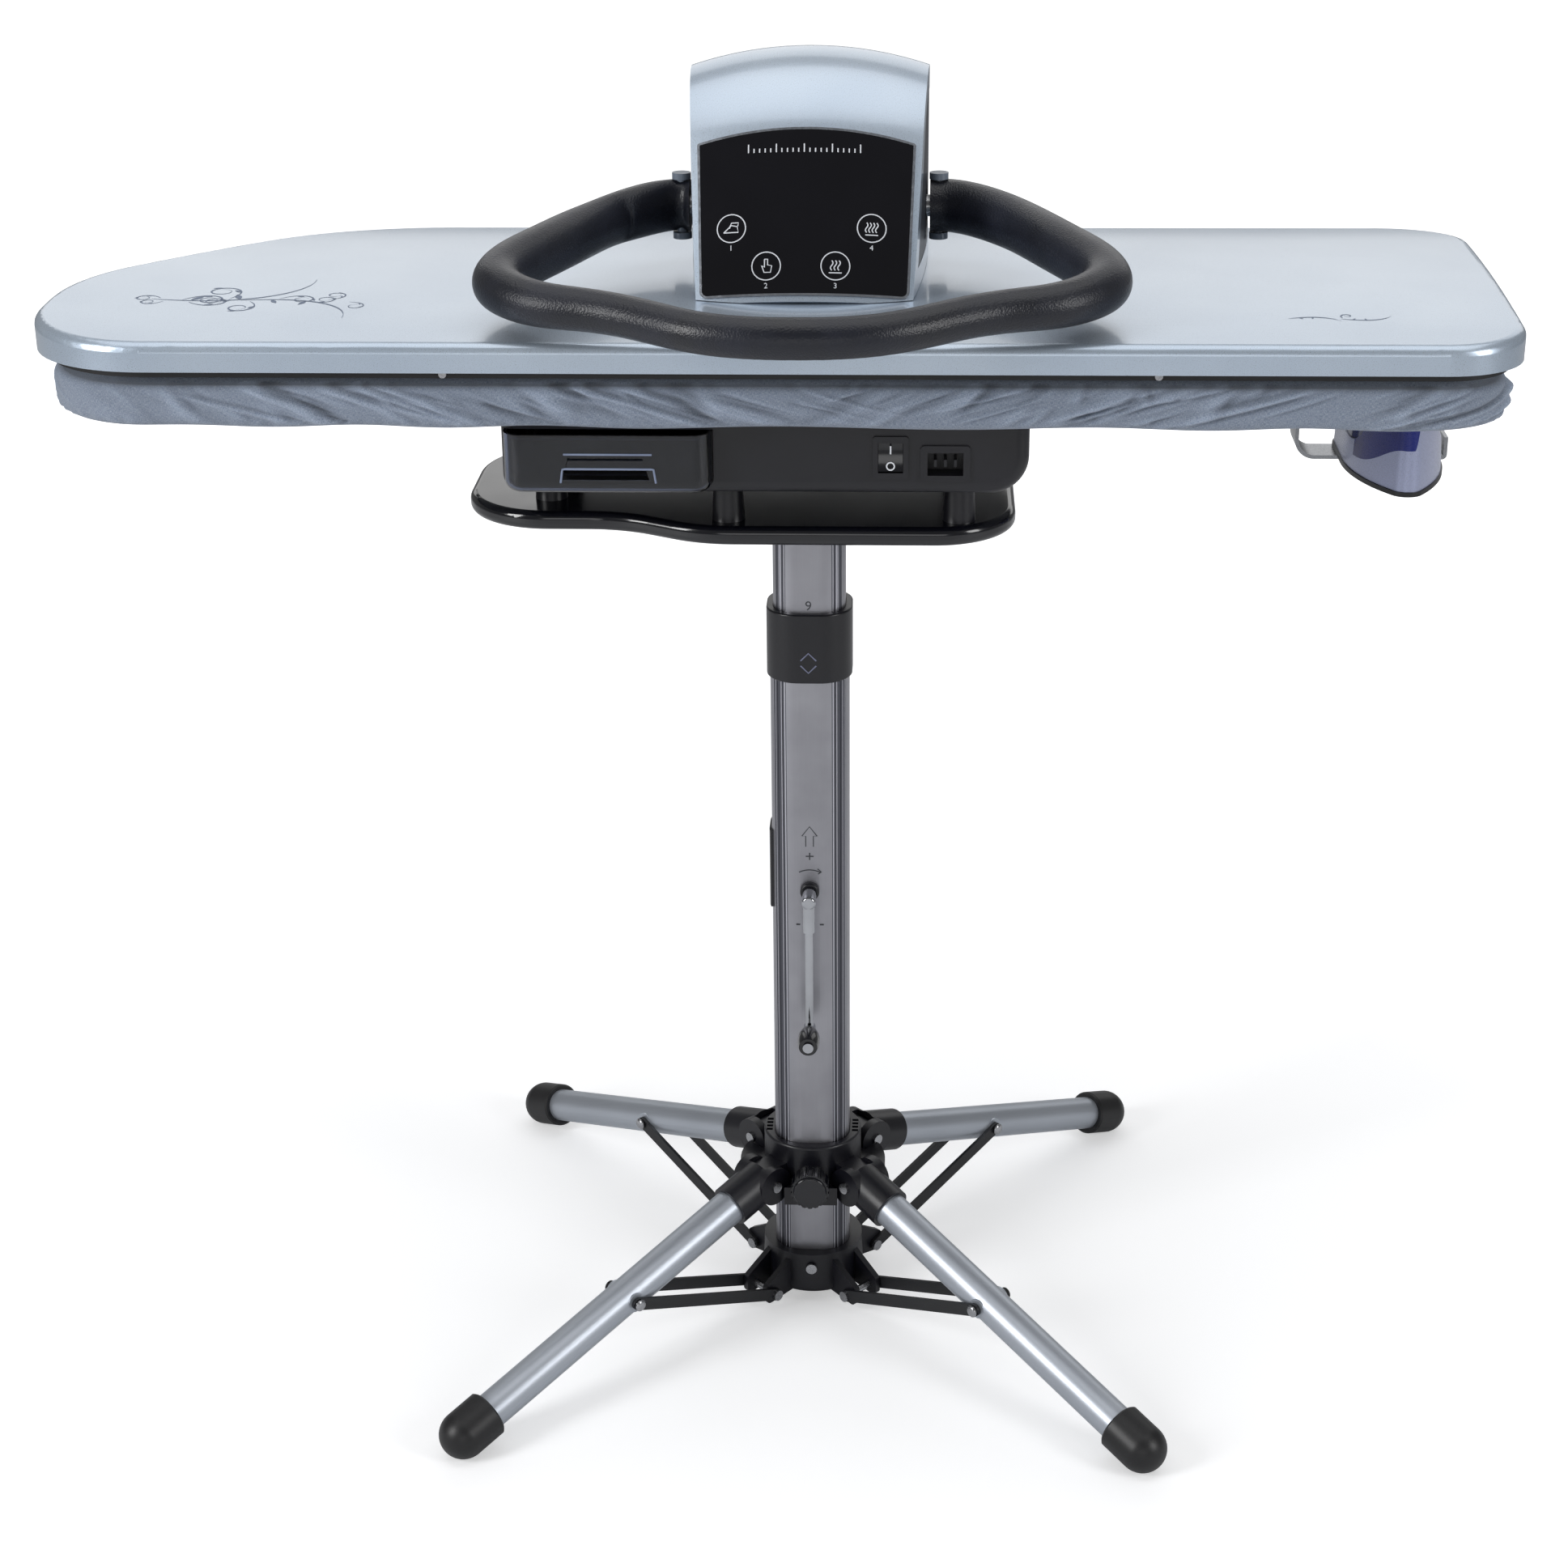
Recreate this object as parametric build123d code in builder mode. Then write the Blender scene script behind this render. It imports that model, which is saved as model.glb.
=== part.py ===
from build123d import *
import os
from math import atan2, cos, degrees, pi, radians, sin, sqrt, tan

# A free-standing steam press: a long heated shoe hinged over a padded board, carried by
# a telescopic column on four folding legs. Millimetres, +Z up, -Y towards the user.
# The pieces are drawn about the column's axis and moved at the end, so that the origin
# lies on the floor under the middle of the board.

# Clearances
running = 0.05  # radial, shafts and pins in their bores
sliding = 0.3  # between faces that slide or seat
seat = 0.3  # below a piece that rests on another body

# Board and shoe, seen from above: corner points and their radii, counter-clockwise
board_corners = [(-378, 207), (-548, -3), (-548, -178), (497.5, -178), (507, 207)]
board_radii = [185, 160, 95, 60, 64]
board_front = board_corners[2][1]
board_back = board_corners[0][1]
board_half_span = 620

# Board stack, from below
pad_top = 824.0  # the heights of all that the column carries follow this one
cover_hem = pad_top - 36  # lower edge of the fabric cover
pad_thickness = 12.0
cover_inset = 10.0  # fabric face, in from the shoe's outline
cover_wrap = 6.0  # thickness of the padding round the pan
pan_sheet = 2.0
pan_depth = 22.2
pan_gap = 0.5

# Shoe
lip_height = pad_top + 6  # lower edge of the shoe's cover
crown_top = pad_top + 32
crown_drop = 6.0  # fall of the crown from its middle to the front and back
shoe_sheet = 2.0
shoulder_radius = 7.0
lip_width = 10.0  # flange turned in at the cover's lower edge
band_inset = 9.0
band_width = 5.0
platen_thickness = 8.0
vent_radius = 2.5
band_screw_x = 245.0
band_screw_head = 2.7

# Head: its side profile, from the foot of the front slope over the crest to the back
head_foot = (-79.5, pad_top + 33)
head_crest = [(16.9, pad_top + 203.4), (165.0, pad_top + 166.5), (250.0, pad_top + 65.2)]
head_radii = [93, 90, 50]
head_back_foot = pad_top + 24
head_sagitta = 14.0  # fall of the crowned top from its middle to its edges
head_half_front = 76.0
head_half_middle = 88.0
head_half_back = 80.0
head_middle_y = 100.0
head_wall = 3.0
head_gap = 0.5  # between the head's lower edge and the shoe
panel_half_foot = 72.8
panel_half_top = 76.6
panel_height = 126.0
panel_arch = 8.5
panel_corner = 4.0
panel_proud = 0.8
panel_sink = 1.4
panel_foot = 6.0
trim_width = 1.8
side_rim = 28.0  # from the crest line, of which the crown takes a half
side_sink = 1.8
side_panel_foot = pad_top + 48

# Press hinge
hinge_y = 226.0
hinge_z = pad_top + 18
hinge_pin_radius = 7.0
knuckle_radius = 13.0
cheek_inner = 62.0
cheek_thickness = 6.0
eye_radius = 14.0
frame_plate = 5.0
frame_half = 55.0

# Handle
handle_y = 50.0
handle_z = pad_top + 75
handle_shaft_radius = 8.0
handle_droop = 5.6  # degrees that the loop slopes down towards the user
handle_end = 89.0  # inner face of each end, from the middle
handle_pin_x = 95.5
handle_pin_radius = 4.0
handle_cap_radius = 7.0
handle_cap_top = pad_top + 99.6
handle_cap_bottom = pad_top + 50.7
handle_cap_height = 4.7
# Half of the loop: distance from the middle, distance before the shaft, radius
handle_points = [
    (89, 0, 19.3),
    (112, 4, 19.4),
    (132, 21, 19.3),
    (152, 47, 19),
    (172, 82, 19),
    (191, 118, 19),
    (206, 150, 18.5),
    (210, 180, 17.5),
    (197, 206, 16.5),
    (174, 225, 15.5),
    (146, 235, 14.8),
    (118, 247, 14.4),
    (90, 265, 14.2),
    (58, 283, 14),
    (28, 290.5, 14),
]
handle_reach = 292.0

# Column
column_width = 61.0
column_corner = 23.0
column_wall = 2.4
column_foot = 14.0
column_top = pad_top - 228
groove_radius = 0.9
groove_angles = (34, 45, 56)
mast_width = 55.5
mast_corner = 20.3
mast_wall = 2.2
mast_foot = 345.0
tray_bottom = pad_top - 138
mast_travel = 72.0
flange_width = 110.0
flange_thickness = 5.0
slot_width = 10.0
collar_width = 66.0
collar_foot = pad_top - 274.5
collar_top = pad_top - 219
plate_foot = 353.0
plate_height = 67.0
plate_width = 30.0
plate_thickness = 2.0

# Crank and rack
crank_z = 375.0
crank_shaft_radius = 4.0
gear_module = 1.5
pinion_teeth = 14
gear_width = 12.0
gear_backlash = 0.6
rack_foot = 357.0
rack_length = 112.0
bezel_radius = 7.5
bezel_depth = 5.5
knuckle_length = 17.0
crank_knuckle_radius = 5.0
crank_rod_radius = 3.25
crank_radius = 112.0
crank_knob_radius = 8.75
crank_knob_length = 25.0
crank_spindle_radius = 3.0

# Leg linkage, in the plane of each leg: r outwards, z up
leg_turns = {"front_left": 225, "front_right": 315, "back_right": 45, "back_left": 135}
pivot_r = 57.0
pivot_z = 118.0
base_pin_z = 15.0
foot_r = 366.0
foot_z = 18.5
foot_radius = 19.0
foot_cap_length = 45.0
leg_radius = 14.3
leg_wall = 1.5
barrel_radius = 16.0
sleeve_radius = 17.5
sleeve_length = 37.0
sleeve_half = 17.5
lug_half = 10.0
lug_radius = 12.0
link_reach = 154.0  # from the leg's pivot to the link's pin, along the leg
link_thickness = 2.8
link_width = 10.0
link_offset = 14.6
link_pin_radius = 3.0
shank_half = 14.0
base_fin = 5.0
base_fin_offset = 9.2
base_radius = 42.0
base_foot = 10.0
base_top = 46.0
base_screw_z = 35.0
ring_radius = 40.0
ring_foot = 97.0
ring_top = 147.0
lobe_radius = 60.0
lobe_foot = 100.0
lobe_top = 116.0
knob_z = 121.0
knob_radius = 15.5
knob_pocket = 52.0
knob_length = 15.0
knob_seat = 50.0  # the lock knob's inner face, before the column's axis
knob_stem = 4.0
rivet_radius = 4.5
rivet_head = 2.0

# Tray and housing
tray_thickness = 14.0
tray_corners = [(-254, -80), (-135, -80), (-75, -114), (154, -114), (154, 115), (-254, 110)]
tray_radii = [64, 90, 90, 60, 60, 80]
tray_edge = 5.5
spacer_radius = 12.0
spacer_places = [(-55, -90), (112, -90), (-190, -40), (112, 80), (-190, 70)]
housing_left = -212.0
housing_right = 160.0
housing_front = -140.0
housing_back = 120.0
housing_foot = pad_top - 91
housing_wall = 3.0
housing_corner = 27.0
housing_edge = 12.0
tank_left = -209.0
tank_right = -62.0
tank_foot = pad_top - 87
tank_top = pad_top - 44
tank_depth = 196.0
tank_proud = 16.0
tank_wall = 2.5
tank_corner = 14.0
tank_edge = 8.5
pull_left = -170.0
pull_right = -103.0
pull_top = pad_top - 57
pull_depth = 14.0
rocker_x = 62.8
rocker_z = pad_top - 63.5
rocker_frame_size = (25.0, 31.0)
rocker_size = (17.0, 21.0)
rocker_tilt = 8.0
socket_x = 101.2
socket_z = pad_top - 67.7
socket_size = (35.0, 26.5)

# Travel iron and its rest
iron_x = 448.5
iron_nose = 1.0
iron_length = 172.0
iron_half = 38.5
sole_z = pad_top - 134
sole_thickness = 3.5
iron_top = pad_top - 38
rest_left = 377.0
rest_right = 496.0
rest_thickness = 3.0
rest_y = 113.0
rest_depth = 33.0
rest_corner = 16.0

# Worked out from the sizes above
column_half = column_width / 2
shaft_back = column_half + bezel_depth - 1.5
pan_top = pad_top - pad_thickness - sliding
pan_foot = pan_top - pan_depth
pan_inset = cover_inset + cover_wrap + pan_gap
platen_foot = pad_top + seat
platen_inset = band_inset + band_width + sliding
band_screw_z = (platen_foot + lip_height) / 2
crown_y = (board_front + board_back) / 2
crown_span = (board_back - board_front) / 2
crown_radius = (crown_span**2 + crown_drop**2) / (2 * crown_drop)
housing_top = pan_top - pan_sheet
leg_slope = atan2(pivot_z - foot_z, foot_r - pivot_r)
leg_length = sqrt((pivot_z - foot_z) ** 2 + (foot_r - pivot_r) ** 2)
link_pin_z = pivot_z - link_reach * sin(leg_slope)
link_pin_r = pivot_r + link_reach * cos(leg_slope)
gear_radius = gear_module * pinion_teeth / 2
head_slope = atan2(head_crest[0][1] - head_foot[1], head_crest[0][0] - head_foot[0])
head_crown = (head_half_middle**2 + head_sagitta**2) / (2 * head_sagitta)

pieces = {}


def keep(name, part):
    """Holds a finished piece under its node's name."""
    part.label = name
    pieces[name] = part


def board_face(inset, height):
    """The board's outline, drawn in by an inset, as a sketch at a height."""
    with BuildSketch(Plane.XY.offset(height)) as outline:
        with BuildLine():
            FilletPolyline(*board_corners, radius=board_radii, close=True)
        make_face()
        offset(amount=-inset, kind=Kind.ARC)
    return outline.sketch


def under_crown(drop):
    """Everything below the shoe's crowned top, lowered by a drop."""
    with BuildPart() as block:
        with BuildSketch(Plane.YZ):
            with Locations((crown_y, crown_top - drop - crown_radius)):
                Circle(crown_radius)
            with Locations((crown_y, lip_height - 20)):
                Rectangle(2 * board_half_span, 100, align=(Align.CENTER, Align.MIN), mode=Mode.INTERSECT)
        extrude(amount=board_half_span, both=True)
    return block.part


def column_section(width, corner, wall):
    """The column's hollow section with its three grooves in each corner."""
    reach = width / 2 - corner
    with BuildSketch() as section:
        RectangleRounded(width, width, corner)
        RectangleRounded(width - 2 * wall, width - 2 * wall, corner - wall, mode=Mode.SUBTRACT)
        for turn in range(0, 360, 90):
            centre = Vector(reach, reach).rotate(Axis.Z, turn)
            for angle in groove_angles:
                groove = centre + Vector(corner, 0).rotate(Axis.Z, angle + turn)
                with Locations((groove.X, groove.Y)):
                    Circle(groove_radius, mode=Mode.SUBTRACT)
    return section.sketch


def across(offset_x=0):
    """A plane square to X: its own x runs along +Y and its own y along +Z."""
    return Plane.YZ.offset(offset_x)


def along(offset_y=0):
    """A plane square to Y: its own x runs along +X and its own y along +Z."""
    return Plane.XZ.offset(-offset_y)


# Column: the fixed outer tube, its foot and its fittings
with BuildPart() as outer_column:
    with BuildSketch(Plane.XY.offset(column_foot)):
        add(column_section(column_width, column_corner, column_wall))
    extrude(amount=column_top - column_foot)
    with BuildSketch(along(0)):
        with Locations((0, crank_z)):
            Circle(crank_shaft_radius + 2)
    extrude(amount=column_width, both=True, mode=Mode.SUBTRACT)
    with BuildSketch(along(0)):
        with Locations((0, base_screw_z)):
            Circle(2.5 + running)
    extrude(amount=column_width, both=True, mode=Mode.SUBTRACT)
keep("outer_column", outer_column.part)

base_angles = (45, 135, 225, 315)
with BuildPart() as base_hub:
    with BuildSketch(Plane.XY.offset(base_foot)):
        Circle(base_radius)
    extrude(amount=base_top - base_foot, taper=2)
    fillet(base_hub.edges().group_by(Axis.Z)[0], 5)
    for angle in base_angles:
        radial = Plane.XZ.rotated((0, 0, angle))
        for side in (-1, 1):
            middle = side * (base_fin_offset + base_fin / 2)
            with BuildSketch(radial.offset(middle)):
                with BuildLine():
                    FilletPolyline(
                        (base_radius - 8, base_foot + 1),
                        (pivot_r + 9, 7),
                        (pivot_r + 9, base_pin_z + 9),
                        (base_radius - 8, base_top - 3),
                        radius=[0, 5, 5, 0],
                        close=True,
                    )
                make_face()
            extrude(amount=base_fin / 2, both=True)
            with BuildSketch(radial.offset(middle)):
                with Locations((pivot_r, base_pin_z)):
                    Circle(link_pin_radius + running)
            extrude(amount=base_fin, both=True, mode=Mode.SUBTRACT)
    with BuildSketch(Plane.XY.offset(column_foot)):
        RectangleRounded(column_width + sliding, column_width + sliding, column_corner)
    extrude(amount=base_top, mode=Mode.SUBTRACT)
    with BuildSketch(along(0)):
        with Locations((0, base_screw_z)):
            Circle(2.5 + running)
    extrude(amount=base_radius + 1, both=True, mode=Mode.SUBTRACT)
keep("base_hub", base_hub.part)

pin_half = link_offset + link_thickness + 0.1
with BuildPart() as base_pins:
    for angle in base_angles:
        radial = Plane.XZ.rotated((0, 0, angle))
        with BuildSketch(radial):
            with Locations((pivot_r, base_pin_z)):
                Circle(link_pin_radius)
        extrude(amount=pin_half, both=True)
        for side in (-1, 1):
            with BuildSketch(radial.offset(side * (pin_half + rivet_head / 2))):
                with Locations((pivot_r, base_pin_z)):
                    Circle(rivet_radius)
            extrude(amount=rivet_head / 2, both=True)
    for side in (-1, 1):
        with BuildSketch(along(side * (base_radius + 0.6))):
            with Locations((0, base_screw_z)):
                Circle(rivet_radius)
        extrude(amount=side * -rivet_head)
        with BuildSketch(along(side * (base_radius + 0.6))):
            with Locations((0, base_screw_z)):
                Circle(2.5)
        extrude(amount=side * (base_radius - 26))
keep("base_pins", base_pins.part)

with BuildPart() as column_collar:
    with BuildSketch(Plane.XY.offset(collar_foot)):
        RectangleRounded(collar_width, collar_width, column_corner + (collar_width - column_width) / 2)
    extrude(amount=collar_top - collar_foot)
    fillet(column_collar.edges().group_by(Axis.Z)[0] + column_collar.edges().group_by(Axis.Z)[-1], 1.5)
    with BuildSketch(Plane.XY.offset(collar_foot)):
        RectangleRounded(column_width + sliding, column_width + sliding, column_corner)
    extrude(amount=column_top - collar_foot, mode=Mode.SUBTRACT)
    with BuildSketch(Plane.XY.offset(column_top)):
        RectangleRounded(mast_width + 2 * sliding, mast_width + 2 * sliding, mast_corner)
    extrude(amount=collar_top - column_top, mode=Mode.SUBTRACT)
keep("column_collar", column_collar.part)

with BuildPart() as side_cover_plate:
    with BuildSketch(Plane.XY.offset(plate_foot)):
        outer = column_width + 2 * plate_thickness
        RectangleRounded(outer, outer, column_corner + plate_thickness)
        RectangleRounded(column_width + 0.1, column_width + 0.1, column_corner, mode=Mode.SUBTRACT)
        with Locations((-column_width / 2, 0)):
            Rectangle(column_width / 2, plate_width, mode=Mode.INTERSECT)
    extrude(amount=plate_height)
    chamfer(side_cover_plate.faces().sort_by(Axis.X)[0].edges().group_by(Axis.Z)[-1], 1.5)
keep("side_cover_plate", side_cover_plate.part)

with BuildPart() as crank_bezel:
    for side in (-1, 1):
        with BuildSketch(along(side * (column_half + bezel_depth))):
            with Locations((0, crank_z)):
                Circle(bezel_radius)
        extrude(amount=side * bezel_depth)
        with BuildSketch(along(side * column_half)):
            with Locations((0, crank_z)):
                Circle(crank_shaft_radius + 2 - running)
        extrude(amount=side * column_wall)
    fillet(crank_bezel.edges().group_by(Axis.Y)[0], 1.5)
    with BuildSketch(along(shaft_back)):
        with Locations((0, crank_z)):
            Circle(crank_shaft_radius + running)
    extrude(amount=2 * column_width, mode=Mode.SUBTRACT)
keep("crank_bezel", crank_bezel.part)

# Leg hub: a ring that slides on the column, with a lug for each leg and the lock knob
with BuildPart() as leg_hub:
    with BuildSketch(Plane.XY.offset(ring_foot)):
        Circle(ring_radius)
    extrude(amount=ring_top - ring_foot)
    fillet(leg_hub.edges().group_by(Axis.Z)[-1], 2)
    with BuildSketch(Plane.XY.offset(lobe_foot)):
        Circle(lobe_radius)
        for angle in base_angles:
            with Locations(Vector(lobe_radius, 0).rotate(Axis.Z, angle)):
                Rectangle(
                    2 * (lobe_radius - ring_radius) - 2 * sliding,
                    2 * (sleeve_half + rivet_head + 0.6),
                    rotation=angle,
                    mode=Mode.SUBTRACT,
                )
        with Locations((0, -knob_seat)):
            Rectangle(knob_pocket, 20, align=(Align.CENTER, Align.MAX), mode=Mode.SUBTRACT)
    extrude(amount=lobe_top - lobe_foot)
    for angle in base_angles:
        with BuildSketch(Plane.XZ.rotated((0, 0, angle))):
            with BuildLine():
                lug_top = pivot_z + lug_radius
                lug_foot = pivot_z - lug_radius
                Polyline(
                    (pivot_r, lug_foot),
                    (ring_radius - 3, lug_foot),
                    (ring_radius - 3, lug_top),
                    (pivot_r, lug_top),
                )
                ThreePointArc((pivot_r, lug_top), (pivot_r + lug_radius, pivot_z), (pivot_r, lug_foot))
            make_face()
            with Locations((pivot_r, pivot_z)):
                Circle(link_pin_radius + running, mode=Mode.SUBTRACT)
        extrude(amount=lug_half, both=True)
    with BuildSketch(along(-knob_seat)):
        with Locations((0, knob_z)):
            Circle(11)
    extrude(amount=-(knob_seat - ring_radius + 4))
    with BuildSketch(Plane.XY.offset(ring_foot)):
        RectangleRounded(column_width + 1, column_width + 1, column_corner)
    extrude(amount=ring_top - ring_foot, mode=Mode.SUBTRACT)
    with BuildSketch(Plane.XY.offset(ring_top)):
        for side in (-1, 1):
            with Locations((side * (column_half + 4.7), 0)):
                with GridLocations(1, 5.6, 1, 4):
                    Rectangle(5, 3.4)
    extrude(amount=-14, mode=Mode.SUBTRACT)
    with BuildSketch(along(-knob_seat)):
        with Locations((0, knob_z)):
            Circle(knob_stem + running)
    extrude(amount=-knob_seat, mode=Mode.SUBTRACT)
keep("leg_hub", leg_hub.part)

with BuildPart() as leg_pivot_pins:
    for angle in base_angles:
        radial = Plane.XZ.rotated((0, 0, angle))
        with BuildSketch(radial):
            with Locations((pivot_r, pivot_z)):
                Circle(link_pin_radius)
        extrude(amount=sleeve_half + 0.1, both=True)
        for side in (-1, 1):
            with BuildSketch(radial.offset(side * (sleeve_half + 0.1 + rivet_head / 2))):
                with Locations((pivot_r, pivot_z)):
                    Circle(rivet_radius)
            extrude(amount=rivet_head / 2, both=True)
keep("leg_pivot_pins", leg_pivot_pins.part)

with BuildPart() as lock_knob:
    with BuildSketch(along(-knob_seat)):
        with Locations((0, knob_z)):
            Circle(knob_radius)
            with PolarLocations(knob_radius + 0.5, 18):
                Circle(1.4, mode=Mode.SUBTRACT)
    extrude(amount=knob_length)
    with BuildSketch(along(-knob_seat - knob_length + 2)):
        with Locations((0, knob_z)):
            Circle(knob_radius - 2)
    extrude(amount=4)
    fillet(lock_knob.faces().sort_by(Axis.Y)[0].edges(), 1.5)
    with BuildSketch(along(-knob_seat)):
        with Locations((0, knob_z)):
            Circle(knob_stem)
    extrude(amount=-(knob_seat - column_half - sliding))
keep("lock_knob", lock_knob.part)

# One leg, its sleeve, foot and links, drawn in the plane y = 0 and turned to each corner
leg_axis = Vector(cos(leg_slope), 0, -sin(leg_slope))
pivot = Vector(pivot_r, 0, pivot_z)
leg_side = Vector(0, 1, 0)


def leg_plane(distance):
    """A plane square to the leg, this far from its pivot; its own x runs sideways."""
    return Plane(origin=pivot + leg_axis * distance, x_dir=leg_side, z_dir=leg_axis)


tube_start = 15.0
tube_end = leg_length - 3
cap_start = leg_length + foot_radius - foot_cap_length
with BuildPart() as leg_tube:
    with BuildSketch(leg_plane(tube_start)):
        Circle(leg_radius)
        Circle(leg_radius - leg_wall, mode=Mode.SUBTRACT)
    extrude(amount=tube_end - tube_start)
    with BuildSketch(Plane.XZ):
        with Locations((link_pin_r, link_pin_z)):
            Circle(8)
    extrude(amount=shank_half, both=True)
    with BuildSketch(leg_plane(tube_start)):
        Circle(leg_radius - leg_wall)
    extrude(amount=tube_end - tube_start, mode=Mode.SUBTRACT)

with BuildPart() as leg_sleeve:
    with BuildSketch(Plane.XZ):
        with Locations((pivot_r, pivot_z)):
            Circle(barrel_radius)
    extrude(amount=sleeve_half, both=True)
    with BuildSketch(leg_plane(0)):
        Circle(sleeve_radius)
    extrude(amount=sleeve_length)
    with BuildSketch(leg_plane(tube_start - sliding)):
        Circle(leg_radius + running)
    extrude(amount=sleeve_length, mode=Mode.SUBTRACT)
    with BuildSketch(Plane.XZ):
        with Locations((pivot_r, pivot_z)):
            Circle(lug_radius + 0.8)
            with Locations(Location((0, 0, 0), (0, 0, -degrees(leg_slope)))):
                with Locations((-lug_radius, -lug_radius / 3)):
                    Rectangle(2 * lug_radius, 5 * lug_radius)
                with Locations((0, -lug_radius)):
                    Rectangle(2 * lug_radius, 2 * lug_radius)
    extrude(amount=lug_half + sliding, both=True, mode=Mode.SUBTRACT)
    with BuildSketch(Plane.XZ):
        with Locations((pivot_r, pivot_z)):
            Circle(link_pin_radius + running)
    extrude(amount=sleeve_half + 1, both=True, mode=Mode.SUBTRACT)

with BuildPart() as foot_cap:
    with BuildSketch(leg_plane(cap_start)):
        Circle(foot_radius)
    extrude(amount=leg_length - cap_start)
    with Locations((foot_r, 0, foot_z)):
        Sphere(foot_radius)
    chamfer(foot_cap.edges().filter_by(GeomType.CIRCLE).sort_by(Axis.X)[0], 1.5)
    with BuildSketch(leg_plane(cap_start)):
        Circle(leg_radius + running)
    extrude(amount=tube_end - cap_start + sliding, mode=Mode.SUBTRACT)
    split(bisect_by=Plane.XY, keep=Keep.TOP)

link_length = sqrt((link_pin_r - pivot_r) ** 2 + (link_pin_z - base_pin_z) ** 2)
link_angle = degrees(atan2(link_pin_z - base_pin_z, link_pin_r - pivot_r))
with BuildPart() as link_pair:
    for side in (-1, 1):
        with BuildSketch(Plane.XZ.offset(side * (link_offset + link_thickness / 2))):
            with Locations(Location((pivot_r, base_pin_z, 0), (0, 0, link_angle))):
                with Locations((link_length / 2, 0)):
                    SlotCenterToCenter(link_length, link_width)
                Circle(link_pin_radius + running, mode=Mode.SUBTRACT)
        extrude(amount=link_thickness / 2, both=True)
        with BuildSketch(Plane.XZ.offset(side * (pin_half + rivet_head / 2 - 0.1))):
            with Locations((link_pin_r, link_pin_z)):
                Circle(rivet_radius)
        extrude(amount=rivet_head / 2, both=True)

for corner, turn in leg_turns.items():
    keep(f"leg_tube_{corner}", leg_tube.part.rotate(Axis.Z, turn))
    keep(f"leg_sleeve_{corner}", leg_sleeve.part.rotate(Axis.Z, turn))
    keep(f"foot_cap_{corner}", foot_cap.part.rotate(Axis.Z, turn))
    keep(f"link_pair_{corner}", link_pair.part.rotate(Axis.Z, turn))

# Mast: the inner tube with its flange and rack
mast_half = mast_width / 2
slot_top = crank_z + mast_travel + crank_shaft_radius + 4
with BuildPart() as inner_column:
    with BuildSketch(Plane.XY.offset(mast_foot)):
        add(column_section(mast_width, mast_corner, mast_wall))
    extrude(amount=tray_bottom - mast_foot)
    with BuildSketch(Plane.XY.offset(tray_bottom - flange_thickness)):
        RectangleRounded(flange_width, flange_width, 8)
        opening = mast_width - 2 * mast_wall
        RectangleRounded(opening, opening, mast_corner - mast_wall, mode=Mode.SUBTRACT)
    extrude(amount=flange_thickness)
    with BuildSketch(along(0)):
        with Locations((0, mast_foot)):
            Rectangle(slot_width, slot_top - mast_foot, align=(Align.CENTER, Align.MIN))
    extrude(amount=mast_width, both=True, mode=Mode.SUBTRACT)
keep("inner_column", inner_column.part)

gear_pitch = pi * gear_module
addendum = 0.9 * gear_module
dedendum = 1.2 * gear_module
tooth_half = (gear_pitch - gear_backlash) / 4
flank = tan(radians(20))


def tooth(reach, depth, half):
    """A gear tooth with straight flanks, pointing along +x from a pitch line at x = 0."""
    return [
        (-depth, -half - depth * flank),
        (reach, -half + reach * flank),
        (reach, half - reach * flank),
        (-depth, half + depth * flank),
    ]


mast_inside = mast_half - mast_wall
with BuildPart() as height_rack:
    with BuildSketch(Plane.XZ):
        with Locations(((gear_radius + dedendum + mast_inside) / 2, rack_foot + rack_length / 2)):
            Rectangle(mast_inside - gear_radius - dedendum, rack_length)
        first = crank_z + gear_pitch / 2
        count = int((rack_foot + rack_length - first) / gear_pitch)
        spots = [first + gear_pitch * i for i in range(-3, count)]
        for spot in spots:
            with Locations(Location((gear_radius, spot, 0), (0, 0, 180))):
                Polygon(*tooth(addendum, dedendum + 0.5, tooth_half), align=None)
    extrude(amount=gear_width / 2, both=True)
keep("height_rack", height_rack.part)

with BuildPart() as pinion:
    with BuildSketch(Plane.XZ):
        with Locations((0, crank_z)):
            Circle(gear_radius - dedendum)
            for i in range(pinion_teeth):
                with Locations(Location((0, 0, 0), (0, 0, 360 * i / pinion_teeth))):
                    with Locations((gear_radius, 0)):
                        Polygon(*tooth(addendum, dedendum + 0.5, tooth_half - 0.1), align=None)
            Circle(crank_shaft_radius + running, mode=Mode.SUBTRACT)
    extrude(amount=gear_width / 2, both=True)
keep("pinion", pinion.part)

# Crank: shaft through both walls, a hanging rod and a free-turning knob
crank_front = column_half + bezel_depth + 4
with BuildPart() as crank_shaft:
    with BuildSketch(along(shaft_back - 1)):
        with Locations((0, crank_z)):
            Circle(crank_shaft_radius)
    extrude(amount=shaft_back - 1 + crank_front + knuckle_length - 3)
keep("crank_shaft", crank_shaft.part)

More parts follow.
